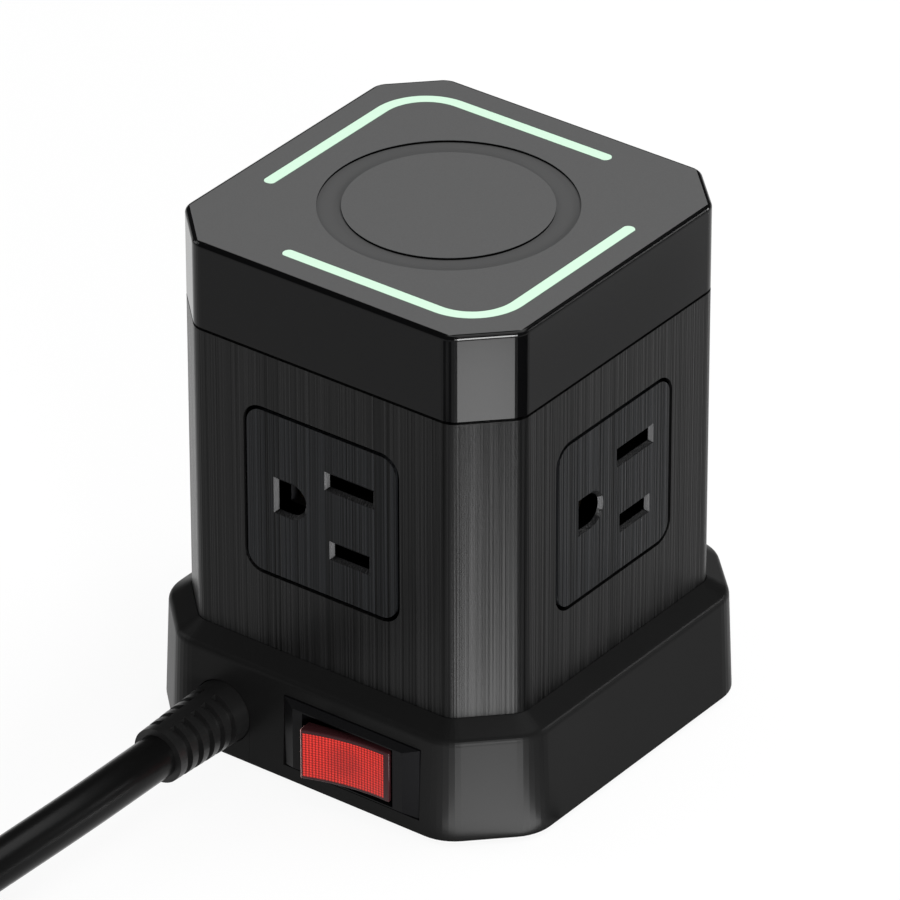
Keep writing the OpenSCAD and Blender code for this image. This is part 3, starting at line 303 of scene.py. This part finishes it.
strap = bmesh.new()
strap_row = [strap.verts.new((r, -tie_w / 2, z)) for r, z in outline]
strap_edges = [strap.edges.new(pair) for pair in zip(strap_row, strap_row[1:])]
grown = bmesh.ops.extrude_edge_only(strap, edges=strap_edges)
new_row = [v for v in grown["geom"] if isinstance(v, bmesh.types.BMVert)]
bmesh.ops.translate(strap, verts=new_row, vec=(0, tie_w, 0))
bmesh.ops.recalc_face_normals(strap, faces=strap.faces)
bmesh.ops.solidify(strap, geom=strap.faces[:], thickness=tie_t)
bmesh.ops.rotate(strap, verts=strap.verts, matrix=Matrix.Rotation(tie_at, 3, "Z"))
bmesh.ops.translate(strap, verts=strap.verts, vec=coil_mid)


def close_form(name, form, made):
    """A mesh of the finished form, with its material."""
    mesh = bpy.data.meshes.new(name)
    form.to_mesh(mesh)
    form.free()
    mesh.materials.append(made)
    return mesh


def make_piece(name, form, body, made, smooth=30):
    bmesh.ops.remove_doubles(form, verts=form.verts, dist=1e-7)
    mesh = close_form(name, form, made)
    mesh.shade_smooth()
    mesh.set_sharp_from_angle(angle=math.radians(smooth))
    piece = put(name, mesh)
    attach(piece, body)
    return piece


tie_nylon = moulded("tie_weave", (0.012, 0.012, 0.013), roughness=0.75, specular=0.4,
                    size=0.0004, depth=0.25, sheen=0.08)
make_piece("cord_tie", strap, "tower", tie_nylon)


# ---- Floor, world and lights ----
# A plain white table under a pale sky, with four soft lamps and a low glowing panel near the corner.
# A dark tent and two cards, which only reflections see, stand in for the photograph's studio.
# None of it is part of the object.
def show_pale(tree, lit, pale, share, output):
    """The camera, gloss and glass see a share of an even pale glow in place of the lit surface."""
    path = tree.nodes.new("ShaderNodeLightPath").outputs
    seen = calc(tree, "MAXIMUM", path["Is Camera Ray"], path["Is Glossy Ray"])
    seen = calc(tree, "MAXIMUM", seen, path["Is Transmission Ray"])
    both = tree.nodes.new("ShaderNodeMixShader")
    connect(tree, calc(tree, "MULTIPLY", seen, share), both.inputs["Fac"])
    connect(tree, lit.outputs[0], both.inputs[1])
    connect(tree, pale.outputs[0], both.inputs[2])
    connect(tree, both.outputs[0], tree.nodes[output].inputs["Surface"])


# The table keeps a tenth of its lit surface, and with it the object's shadow.
table_half, table_drop, table_share = 6, 0.0002, 0.9
table_white, table_tree, table_shader = new_material("table_white")
feed(table_tree, table_shader, Base_Color=(0.8, 0.8, 0.8, 1), Roughness=0.9, Specular_IOR_Level=0)
table_glow = table_tree.nodes.new("ShaderNodeEmission")
feed(table_tree, table_glow, Color=(1, 1, 1, 1), Strength=1)
show_pale(table_tree, table_shader, table_glow, table_share, "Material Output")
table_form = bmesh.new()
bmesh.ops.create_grid(table_form, x_segments=1, y_segments=1, size=table_half)
bmesh.ops.translate(table_form, verts=table_form.verts, vec=(0, 0, -table_drop))
floor = put("table_top", close_form("table_top", table_form, table_white))

world = bpy.data.worlds.new("surroundings")
bpy.context.scene.world = world
world.use_nodes = True
sky_light = world.node_tree.nodes["Background"]
feed(world.node_tree, sky_light, Color=(1, 1, 1, 1), Strength=0.45)
sky_seen = world.node_tree.nodes.new("ShaderNodeBackground")
feed(world.node_tree, sky_seen, Color=(0.8, 0.8, 0.8, 1), Strength=1)
show_pale(world.node_tree, sky_light, sky_seen, 1, "World Output")


def toward(bearing, rise=0):
    """A direction, in degrees from the switch side towards +X, and in degrees up."""
    b, h = math.radians(bearing), math.radians(rise)
    return Vector((math.sin(b) * math.cos(h), -math.cos(b) * math.cos(h), math.sin(h)))


def add_lamp(name, wide, tall, power, place):
    data = bpy.data.lights.new(name, "AREA")
    data.shape = "RECTANGLE"
    data.size, data.size_y, data.energy = wide, tall, power
    lamp = put(name, data)
    lamp.matrix_world = place
    lamp.visible_camera = False


# Each lamp faces the tower's middle, and has its bearing, rise, distance, width, height and power here.
tower_middle = Vector((0, 0, 0.045))
for name, bearing, rise, away, wide, tall, power in (
    ("lamp_above", 160, 72, 1.6, 1.2, 1.2, 17),
    ("lamp_near", 53, 10, 1.1, 0.25, 0.3, 17),
    ("lamp_left", -70, 25, 1.4, 0.5, 0.9, 6),
    ("lamp_right", 138, 18, 1.4, 0.6, 0.15, 6),
):
    lamp_at = tower_middle + away * toward(bearing, rise)
    add_lamp(name, wide, tall, power, face_from(lamp_at, tower_middle))

# The panel lies face up on the table and runs away from the near corner.
panel_start, panel_bearing = Vector((0.0345, -0.0335, 0.001)), 53
panel_w, panel_long, panel_glare = 0.022, 0.16, 15
panel_turn = Matrix.Rotation(math.radians(panel_bearing), 4, "Z") @ Matrix.Rotation(math.pi, 4, "X")
panel_place = Matrix.Translation(panel_start + toward(panel_bearing) * panel_long / 2) @ panel_turn
add_lamp("panel_near", panel_w, panel_long, panel_glare * panel_w * panel_long * math.pi, panel_place)


def raise_card(name, form, brightness):
    """A studio card that only reflections see."""
    made, tree, shader = new_material(name)
    feed(tree, shader, Base_Color=(0, 0, 0, 1), Specular_IOR_Level=0, Emission_Color=(1, 1, 1, 1),
         Emission_Strength=brightness)
    card = put(name, close_form(name, form, made))
    card.visible_camera = card.visible_diffuse = card.visible_shadow = card.visible_transmission = False


# A dark tent over the table, a black card to the right of the near corner, and a grey one behind it.
tent_r, tent_cut, tent_lift = 4, -0.1, 0.25
tent = bmesh.new()
bmesh.ops.create_uvsphere(tent, u_segments=48, v_segments=24, radius=tent_r)
bmesh.ops.delete(tent, geom=[v for v in tent.verts if v.co.z < tent_cut], context="VERTS")
bmesh.ops.translate(tent, verts=tent.verts, vec=(0, 0, tent_lift))
raise_card("dark_tent", tent, brightness=0.1)

dark_card = bmesh.new()
card_tip, card_near, card_far = Vector((0.03, -0.03, 0.0004)), 0.013, 0.24
card_bearings = range(64, 137, 8)
card_rim = [(card_near, b) for b in card_bearings] + [(card_far, b) for b in reversed(card_bearings)]
dark_card.faces.new([dark_card.verts.new(card_tip + toward(b) * reach) for reach, b in card_rim])
raise_card("dark_card", dark_card, brightness=0)

grey_card = bmesh.new()
grey_corners, grey_z = ((0.037, -0.026), (0.037, 0.034), (0.127, 0.154), (0.127, 0.094)), 0.0003
grey_card.faces.new([grey_card.verts.new((x, y, grey_z)) for x, y in grey_corners])
raise_card("grey_card", grey_card, brightness=0.78)


# ---- Tower shell and outlet panels ----
# Black moulded plastic whose outside carries a fine upright brushed pattern.
# The panels are separate mouldings, a touch bluer, held in their windows by flanges behind the wall.

# Stretch is how many lines there are to a metre each way, and Broad has fewer than Fine.
brushing, brush_in, brush_out = new_group(
    "drawn_lines", [("Stretch", "NodeSocketVector", (1500, 1500, 5))], ["Fine", "Broad"],
)
brush_place = brushing.nodes.new("ShaderNodeTexCoord")
for label, shrink in (("Fine", 1), ("Broad", 0.45)):
    scaled = brushing.nodes.new("ShaderNodeVectorMath")
    scaled.operation = "SCALE"
    feed(brushing, scaled, Vector=brush_in.outputs["Stretch"], Scale=shrink)
    stretched = brushing.nodes.new("ShaderNodeVectorMath")
    stretched.operation = "MULTIPLY"
    connect(brushing, brush_place.outputs["Object"], stretched.inputs[0])
    connect(brushing, scaled.outputs[0], stretched.inputs[1])
    lines = brushing.nodes.new("ShaderNodeTexNoise")
    feed(brushing, lines, Vector=stretched.outputs[0], Scale=1, Detail=2)
    connect(brushing, lines.outputs["Fac"], brush_out.inputs[label])

fine_share, broad_share = 0.75, 0.25
# The noise at which a line is darkest and lightest, how far its roughness varies, and its depth.
line_dark, line_light, line_vary, line_height = 0.37, 0.63, 0.15, 0.0002
# What lies closer to the tower's middle than face_skin is an opening. On the corner flats, x and y
# together come to chamfer_reach instead.
face_skin, chamfer_reach = 0.0333, 0.0585
# A slanted edge's normal points out of the face by between the first two, and the normal of an
# upright one points up or down by less than the third.
slant_low, slant_high, upright_limit = 0.3, 0.85, 0.3
# Slanted edges of openings are painted: dark as shade where they face up or down, pale as light where
# upright.
edge_painted_shade, edge_painted_light = (0.003, 0.003, 0.0032), (0.045, 0.045, 0.046)


def split(tree, vector):
    parts = tree.nodes.new("ShaderNodeSeparateXYZ")
    connect(tree, vector, parts.inputs[0])
    return parts.outputs


def with_openings(tree, tint, rough):
    """Colour, roughness and metallic of a face whose openings are painted dull black as shade.

    The openings' slanted edges: upright ones painted paler than the lines round them as light, others dark as
    shade.
    """
    place = tree.nodes.new("ShaderNodeTexCoord").outputs
    x, y = [calc(tree, "ABSOLUTE", part) for part in split(tree, place["Object"])[:2]]
    corner = calc(tree, "MULTIPLY", calc(tree, "ADD", x, y), face_skin / chamfer_reach)
    shown = calc(tree, "GREATER_THAN", calc(tree, "MAXIMUM", calc(tree, "MAXIMUM", x, y), corner), face_skin)
    hidden = calc(tree, "SUBTRACT", 1, shown)
    out_x, out_y, out_z = [calc(tree, "ABSOLUTE", part) for part in split(tree, place["Normal"])]
    on_x = calc(tree, "GREATER_THAN", x, y)
    on_y = calc(tree, "SUBTRACT", 1, on_x)
    outward = calc(tree, "ADD", calc(tree, "MULTIPLY", on_x, out_x), calc(tree, "MULTIPLY", on_y, out_y))
    slant = calc(tree, "MULTIPLY", calc(tree, "LESS_THAN", outward, slant_high),
                 calc(tree, "GREATER_THAN", outward, slant_low))
    slant = calc(tree, "MULTIPLY", slant, calc(tree, "LESS_THAN", corner, face_skin))
    # Painted light and shade on the slanted edges, and painted black shade in the openings.
    edge_painted_tint = mix_colours(tree, calc(tree, "LESS_THAN", out_z, upright_limit), edge_painted_shade, edge_painted_light)
    tint = mix_colours(tree, shown, (0, 0, 0), mix_colours(tree, slant, tint, edge_painted_tint))
    return tint, calc(tree, "ADD", calc(tree, "MULTIPLY", rough, shown), hidden), hidden


def drawn(name, dark, light, roughness, specular, stretch, depth, openings=False, metallic=0):
    """A surface with fine lines along one direction, between a dark and a light colour."""
    made, tree, shader = new_material(name)
    effect = use_group(tree, brushing, Stretch=stretch)
    broad = calc(tree, "MULTIPLY", effect["Broad"], broad_share)
    height = calc(tree, "MULTIPLY_ADD", effect["Fine"], fine_share, broad)
    line = spread(tree, height, line_dark, line_light)
    tint = mix_colours(tree, line, dark, light)
    rough = spread(tree, line, low=roughness * (1 + line_vary), high=roughness * (1 - line_vary))
    # Openings get painted black shade, and their slanted edges painted light and shade.
    if openings:
        tint, rough, metallic = with_openings(tree, tint, rough)
    add_bump(tree, shader, height, depth, line_height)
    feed(tree, shader, Base_Color=tint, Roughness=rough, Metallic=metallic, Specular_IOR_Level=specular)
    return made


streaks = (3600, 3600, 6)
brushed_black = drawn("brushed_black", (0.0002, 0.0002, 0.0002), (0.007, 0.007, 0.0071), roughness=0.3,
                      specular=0.104, stretch=streaks, depth=0.5, openings=True)
panel_black = drawn("panel_black", (0.0001, 0.0001, 0.0001), (0.0085, 0.009, 0.0099), roughness=0.32,
                    specular=0.08, stretch=streaks, depth=1.0, openings=True)
finish_nodes(brushed_black, "body_shell")
finish_nodes(panel_black, "outlet_face_front", "outlet_face_right", "outlet_face_back", "usb_face")


# ---- Base, its gate and plate, and the strain relief ----
# Satin black mouldings with a very fine spark-eroded grain. The plate is screwed on from below.
# The relief and the plug's body are soft PVC moulded on the cord's ends, and the feet are rubber.
base_black = moulded("base_black", (0.0042, 0.0042, 0.0042), roughness=0.34, specular=0.05,
                     size=0.0002, depth=0.02)
finish_nodes(base_black, "base_shell", "cord_gate", "bottom_plate")
soft_black = moulded("soft_black", (0.006, 0.006, 0.006), roughness=0.36, specular=0.22,
                     size=0.0002, depth=0.03)
finish_nodes(soft_black, "strain_relief", "plug_body")
foot_black = moulded("foot_black", (0.02, 0.02, 0.02), roughness=0.8, specular=0.3, size=0.0003, depth=0.15)
finish_nodes(foot_black, "rubber_feet")


# ---- Cap ----
# One moulding: glossy black sides and edge, and a matte charcoal top with a fine spark-eroded grain.
# The matte field stops where the top edge's rounding starts. The ring recess's floor is painted darker as
# shade.
field_half, field_chamfer, field_z, recess_z, level_limit = 0.0332, 0.0583, 0.0918, 0.0921, 0.5
charcoal_dark, charcoal_light = (0.074, 0.0742, 0.0745), (0.09, 0.0902, 0.0905)
# The recess colour is painted shade on the ring recess's floor.
recess_painted_shade, gloss_black = (0.066, 0.0662, 0.0665), (0.0012, 0.0012, 0.0013)
gloss_rough, matte_rough = 0.14, 0.75

cap_black, cap_tree, cap_shader = new_material("cap_charcoal")
cap_grain = use_group(cap_tree, grain, Size=0.00022, Patch=0.05)["Grain"]
cap_place = cap_tree.nodes.new("ShaderNodeTexCoord").outputs
cap_x, cap_y, cap_z = split(cap_tree, cap_place["Object"])
cap_x, cap_y = calc(cap_tree, "ABSOLUTE", cap_x), calc(cap_tree, "ABSOLUTE", cap_y)
cap_up = split(cap_tree, cap_place["Normal"])["Z"]
matte = calc(cap_tree, "GREATER_THAN", cap_z, field_z)
# Faces that are not level stay gloss black, which paints the ring recess's walls as dark shade lines.
for limit in (calc(cap_tree, "LESS_THAN", calc(cap_tree, "MAXIMUM", cap_x, cap_y), field_half),
              calc(cap_tree, "LESS_THAN", calc(cap_tree, "ADD", cap_x, cap_y), field_chamfer),
              calc(cap_tree, "GREATER_THAN", cap_up, level_limit)):
    matte = calc(cap_tree, "MULTIPLY", matte, limit)
# The ring recess's floor is painted darker as shade.
cap_field = mix_colours(cap_tree, calc(cap_tree, "GREATER_THAN", cap_z, recess_z), recess_painted_shade,
                        mix_colours(cap_tree, cap_grain, charcoal_dark, charcoal_light))
add_bump(cap_tree, cap_shader, calc(cap_tree, "MULTIPLY", cap_grain, matte), strength=0.06, distance=0.0003)
feed(cap_tree, cap_shader, Base_Color=mix_colours(cap_tree, matte, gloss_black, cap_field),
     Roughness=spread(cap_tree, matte, low=gloss_rough, high=matte_rough), Specular_IOR_Level=0.12)
finish_nodes(cap_black, "top_cap")


# ---- Light strips ----
# Two L-shaped guides of clear milky plastic with a pale mint glow and a thin dark green edge.
# They are pressed in from below and stop flush with the top.
strip_middle, strip_turn = 0.0278, 0.0188
strip_half, strip_rim = 0.0011, 0.0001
mint, rim_green = (0.5, 0.68, 0.545), (0.03, 0.09, 0.05)


def strip_glow(name, facing):
    """The glow of the near strip, or with -1 of the far one, by the distance from its middle line."""
    made, tree, shader = new_material(name)
    x, y, _ = split(tree, tree.nodes.new("ShaderNodeTexCoord").outputs["Object"])
    past = [calc(tree, "MAXIMUM", calc(tree, "SUBTRACT", calc(tree, "MULTIPLY", part, sign), strip_turn), 0)
            for part, sign in ((x, facing), (y, -facing))]
    squares = [calc(tree, "MULTIPLY", part, part) for part in past]
    from_turn = calc(tree, "SQRT", calc(tree, "ADD", *squares))
    off = calc(tree, "ABSOLUTE", calc(tree, "SUBTRACT", from_turn, strip_middle - strip_turn))
    tint = mix_colours(tree, spread(tree, off, strip_half - strip_rim, strip_half), mint, rim_green)
    wave = use_group(tree, grain, Size=0.0006, Patch=0.01)["Grain"]
    add_bump(tree, shader, wave, strength=0.01, distance=0.0003)
    feed(tree, shader, Base_Color=tint, Emission_Color=tint, Emission_Strength=0.17, Roughness=0.35)
    return made


finish_nodes(strip_glow("strip_glow_near", 1), "light_strip_near")
finish_nodes(strip_glow("strip_glow_far", -1), "light_strip_far")


# ---- Charger ----
# A flat winding of enamelled copper wire on a ferrite disc, over a green board under the cap.
# Small diodes on the same board light the strips from below.
wire_pitch = 0.00075
copper_dark, copper_light = (0.35, 0.1, 0.03), (0.75, 0.32, 0.13)
winding, winding_tree, winding_shader = new_material("coil_copper")
rings = winding_tree.nodes.new("ShaderNodeTexWave")
rings.wave_type, rings.rings_direction = "RINGS", "Z"
feed(winding_tree, rings, Scale=1 / wire_pitch / 2 / math.pi,
     Vector=winding_tree.nodes.new("ShaderNodeTexCoord").outputs["Object"])
ring = rings.outputs["Fac"]
feed(winding_tree, winding_shader, Base_Color=mix_colours(winding_tree, ring, copper_dark, copper_light),
     Roughness=spread(winding_tree, ring, low=0.45, high=0.25), Metallic=0.8)
finish_nodes(winding, "charging_coil")

ferrite = moulded("ferrite", (0.06, 0.06, 0.065), roughness=0.7, specular=0.4,
                  vary=0.3, size=0.0004, patch=0.004, depth=0.2)
finish_nodes(ferrite, "ferrite_disc")
board_green = moulded("circuit_board", (0.02, 0.2, 0.07), roughness=0.35,
                      vary=0.25, size=0.0005, patch=0.003, depth=0.05)
finish_nodes(board_green, "charger_board", "power_board", "usb_board")
diode_white = moulded("led_body", (0.9, 0.88, 0.7), roughness=0.3,
                      vary=0.08, size=0.0004, patch=0.002, depth=0.03)
finish_nodes(diode_white, "strip_leds")


# ---- Contacts, carriers and ports ----
# Brass strips stamped with rolling lines along them, in grey moulded carriers behind the panels.
# The USB sockets are folded steel shells round white cores. Screws and springs are steel as well.
brass = drawn("contact_brass", (0.42, 0.27, 0.1), (0.75, 0.55, 0.26), roughness=0.32, specular=0.5,
              stretch=(300, 300, 3000), depth=0.15, metallic=1.0)
finish_nodes(brass, "hot_strip", "neutral_strip", "ground_strip", "contact_lever",
             "switch_terminal_line", "switch_terminal_load", "switch_terminal_lamp")
steel = drawn("screw_steel", (0.45, 0.45, 0.47), (0.7, 0.7, 0.72), roughness=0.3, specular=0.5,
              stretch=(400, 400, 2500), depth=0.1, metallic=1.0)
finish_nodes(steel, "tie_screws", "bottom_screws", "board_screws", "usb_a_shell_upper", "usb_a_shell_middle",
             "usb_c_shell", "rocker_plunger", "plunger_spring")
carrier_grey = moulded("carrier_grey", (0.02, 0.02, 0.022), roughness=0.55, specular=0.4,
                       size=0.0003, depth=0.04)
finish_nodes(carrier_grey, "outlet_carrier_front", "outlet_carrier_right", "outlet_carrier_back")
core_white = moulded("insulator_white", (0.78, 0.78, 0.76), roughness=0.4,
                     vary=0.04, size=0.0004, patch=0.004, depth=0.03)
finish_nodes(core_white, "usb_a_core_upper", "usb_a_core_middle")


# ---- Power board parts ----
# A transformer in yellow tape, two capacitors in blue shrunk sleeves and a dipped blue varistor.
# All are soldered to the board in the tower.
tape_yellow = moulded("transformer_tape", (0.72, 0.45, 0.05), roughness=0.3,
                      vary=0.15, size=0.0008, patch=0.004, depth=0.05)
finish_nodes(tape_yellow, "transformer")
sleeve_blue = moulded("capacitor_sleeve", (0.03, 0.05, 0.18), roughness=0.25,
                      vary=0.2, size=0.0006, patch=0.004, depth=0.03)
finish_nodes(sleeve_blue, "capacitors")
dipped_blue = moulded("varistor_blue", (0.04, 0.14, 0.42), roughness=0.35,
                      vary=0.2, size=0.0008, patch=0.003, depth=0.1)
finish_nodes(dipped_blue, "surge_varistor")


# ---- Switch ----
# A snap-in rocker switch: a black housing with a bevelled rim, and a clear red rocker whose inside
# carries fine square prisms, over a black carrier with a small neon lamp.
switch_black = moulded("switch_black", (0.002, 0.002, 0.0023), roughness=0.38, specular=0.08,
                       size=0.0002, depth=0.02)
finish_nodes(switch_black, "switch_housing", "rocker_carrier", "usb_c_core")
lamp_glass = moulded("lamp_glass", (1.0, 0.6, 0.3), roughness=0.1,
                     vary=0.1, size=0.001, patch=0.004, depth=0.01)
finish_nodes(lamp_glass, "rocker_lamp")

# The rocker's own axes: its pin, and the turn that it has at rest.
lens_low, lens_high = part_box("rocker_lens")
pivot = Vector((0.009, -0.0372, (lens_low.z + lens_high.z) / 2))
lens_turn = math.radians(10)
lens_bevel, sharp_edge = 0.00018, 0.4
column_pitch, row_pitch, row_strength = 0.00055, 0.00046, 0.75
# The prisms lie within these limits of the rocker's own x and z, in front of window_y.
window_x, window_z, window_y = (-0.0077, 0.00695), (-0.0042, 0.004), -0.0022
bay_r, bay_strength, lit_end_x = 0.004, 0.4, -0.00795
# The bay's colour is painted shade.
prism_red, groove_red, bay_painted_shade = (0.5, 0.026, 0.019), (0.13, 0.006, 0.005), (0.12, 0.01, 0.01)
# The end's colour is a painted highlight.
rim_red, end_painted_highlight = (0.02, 0.006, 0.007), (0.75, 0.42, 0.4)

lens_form = bmesh.new()
lens_form.from_mesh(nodes["rocker_lens"].data)
bmesh.ops.remove_doubles(lens_form, verts=lens_form.verts, dist=1e-6)
bmesh.ops.dissolve_limit(lens_form, angle_limit=math.radians(1), verts=lens_form.verts, edges=lens_form.edges)
lens_edges = [e for e in lens_form.edges if e.is_manifold and e.calc_face_angle() > sharp_edge]
bmesh.ops.bevel(lens_form, geom=lens_edges, offset=lens_bevel, segments=2, profile=0.5, material=-1,
                affect="EDGES")

long_side = max(photo_w, photo_h)
to_camera = camera.matrix_world.inverted()


def place_seen(point, carrier):
    """The place on a carrier's tree that shows at an image point, or its place nearest the ray."""
    x, y = point
    ray = Vector((x - photo_w / 2 + shift_x * long_side, photo_h / 2 - y + shift_y * long_side,
                  -long_side * lens_mm / sensor_mm))
    ray = (camera.matrix_world.to_3x3() @ ray).normalized()
    hit = carrier.ray_cast(camera.matrix_world.translation, ray)[0]
    if hit:
        return hit
    along = (camera_aim - camera.matrix_world.translation).dot(ray)
    for _ in range(8):
        near = carrier.find_nearest(camera.matrix_world.translation + ray * along)[0]
        along = (near - camera.matrix_world.translation).dot(ray)
    return near


lens_red, lens_tree, lens_shader = new_material("rocker_red")
to_lens = lens_tree.nodes.new("ShaderNodeMapping")
to_lens.vector_type = "TEXTURE"
feed(lens_tree, to_lens, Location=pivot, Rotation=(0, 0, lens_turn),
     Vector=lens_tree.nodes.new("ShaderNodeTexCoord").outputs["Object"])
lens_x, lens_y, lens_z = split(lens_tree, to_lens.outputs[0])


def on_lens(operation, *values):
    return calc(lens_tree, operation, *values)


def groove(value, pitch):
    """Is 1 in the middle of a line between prisms and 0 in the middle of a prism."""
    wave = on_lens("SINE", on_lens("MULTIPLY", value, math.pi / pitch))
    return on_lens("SUBTRACT", 1, on_lens("ABSOLUTE", wave))


def between(value, limits):
    low, high = limits
    return on_lens("MULTIPLY", on_lens("GREATER_THAN", value, low), on_lens("LESS_THAN", value, high))


rows = on_lens("MULTIPLY", groove(lens_z, row_pitch), row_strength)
prisms = on_lens("ADD", groove(lens_x, column_pitch), rows)
window = on_lens("MULTIPLY", between(lens_x, window_x), between(lens_z, window_z))
window = on_lens("MULTIPLY", window, on_lens("LESS_THAN", lens_y, window_y))
# The shade of the lamp bay behind the middle of the window is painted on as a soft darker patch.
bay_at = place_seen(image_points["lamp_bay"], BVHTree.FromBMesh(lens_form)) - pivot
bay_at.rotate(Matrix.Rotation(-lens_turn, 3, "Z"))
from_bay = [on_lens("SUBTRACT", value, at) for value, at in ((lens_x, bay_at.x), (lens_z, bay_at.z))]
bay = on_lens("ADD", *[on_lens("MULTIPLY", part, part) for part in from_bay])
shade = spread(lens_tree, bay, 0, bay_r ** 2, bay_strength, 0, ramp="SMOOTHSTEP")
window_tint = mix_colours(lens_tree, shade, mix_colours(lens_tree, prisms, prism_red, groove_red), bay_painted_shade)
lens_tint = mix_colours(lens_tree, window, rim_red, window_tint)
# Its left end is painted pale pink as a highlight.
lens_tint = mix_colours(lens_tree, on_lens("LESS_THAN", lens_x, lit_end_x), lens_tint, end_painted_highlight)
feed(lens_tree, lens_shader, Base_Color=lens_tint, Roughness=0.12, Specular_IOR_Level=0.14)
lens = make_piece("rocker_window", lens_form, "rocker", lens_red, smooth=40)
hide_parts("rocker_lens")


# ---- Leads ----
# Stranded copper wires in smooth coloured insulation, from the cord to the switch and the board,
# and from the board up to the charger.
for name, colour, leads in (
    ("lead_black", (0.01, 0.01, 0.01), ("hot_lead", "switched_lead")),
    ("lead_white", (0.75, 0.75, 0.75), ("neutral_lead",)),
    ("lead_green", (0.03, 0.25, 0.06), ("ground_lead",)),
    ("lead_red", (0.3, 0.02, 0.02), ("charger_lead",)),
):
    insulation = moulded(name, colour, roughness=0.35, vary=0.06, size=0.0008, patch=0.006, depth=0.02)
    finish_nodes(insulation, *leads)


# ---- Plug blades ----
# Folded brass blades and a round ground pin, nickel plated, with fine marks along them.
# They stand in the plug's soft body, which is moulded round them.
nickel = drawn("plug_nickel", (0.55, 0.54, 0.52), (0.8, 0.79, 0.77), roughness=0.22, specular=0.5,
               stretch=(2500, 200, 2500), depth=0.05, metallic=1.0)
finish_nodes(nickel, "plug_hot_blade", "plug_neutral_blade", "plug_ground_pin")


# ---- Image points and sizes ----
# Each point is where a feature shows in the photograph. The script works out how far the finished model shows
# from it, by the outermost vertex that the camera sees of the pieces that carry the feature.
bpy.context.view_layer.update()
around = {"table_top", "dark_tent", "dark_card", "grey_card"}
on_cord = {"mains_cord", "cord_tie", "strain_relief", "plug_body", "plug_hot_blade", "plug_neutral_blade",
           "plug_ground_pin"}
graph = bpy.context.evaluated_depsgraph_get()
finished, trees = {}, {}
for piece in bpy.context.scene.objects:
    if piece.type not in {"MESH", "CURVE"} or piece.hide_render or piece.name in around:
        continue
    shape = piece.evaluated_get(graph).to_mesh()
    finished[piece.name] = [piece.matrix_world @ v.co for v in shape.vertices]
    trees[piece.name] = BVHTree.FromPolygons(finished[piece.name], [p.vertices for p in shape.polygons])
    piece.evaluated_get(graph).to_mesh_clear()


def show(place):
    """Where a place shows in the frame: the placing ray, the other way round."""
    local = to_camera @ place
    grow = long_side * lens_mm / sensor_mm / -local.z
    mid_x, mid_y = photo_w / 2 - shift_x * long_side, photo_h / 2 + shift_y * long_side
    return mid_x + local.x * grow, mid_y - local.y * grow


# A vertex shows if nothing stands in front of it by more than this.
touch = 0.0002


def outermost(names, way):
    """Where the vertex shows that the camera sees furthest along way, among the named pieces."""
    spots = [(show(place), place) for name in names for place in finished[name]]
    spots.sort(key=lambda spot: -(spot[0][0] * way[0] + spot[0][1] * way[1]))
    eye = camera.matrix_world.translation
    for spot, place in spots:
        ray = place - eye
        if not any(tree.ray_cast(eye, ray.normalized(), ray.length - touch)[0] for tree in trees.values()):
            return spot
    return spots[0][0]


whole = [name for name in finished if name not in on_cord]
left, right, up, down = (-1, 0), (1, 0), (0, -1), (0, 1)
edges = {
    "object_left": (whole, left), "object_right": (whole, right),
    "object_top": (whole, up), "object_bottom": (whole, down),
    "near_strip_left": (["light_strip_near"], left), "near_strip_right": (["light_strip_near"], right),
    "near_strip_corner": (["light_strip_near"], down), "far_strip_left": (["light_strip_far"], left),
    "far_strip_right": (["light_strip_far"], right), "far_strip_corner": (["light_strip_far"], up),
    "front_panel_left": (["outlet_face_front"], left), "front_panel_right": (["outlet_face_front"], right),
    "right_panel_left": (["outlet_face_right"], left), "right_panel_right": (["outlet_face_right"], right),
    "bezel_top_left": (["switch_housing"], (-1, -1)), "bezel_right": (["switch_housing"], right),
    "relief_end": (["strain_relief"], left),
}
for name, wanted in image_points.items():
    shows = outermost(*edges[name]) if name in edges else show(place_seen(wanted, trees["rocker_window"]))
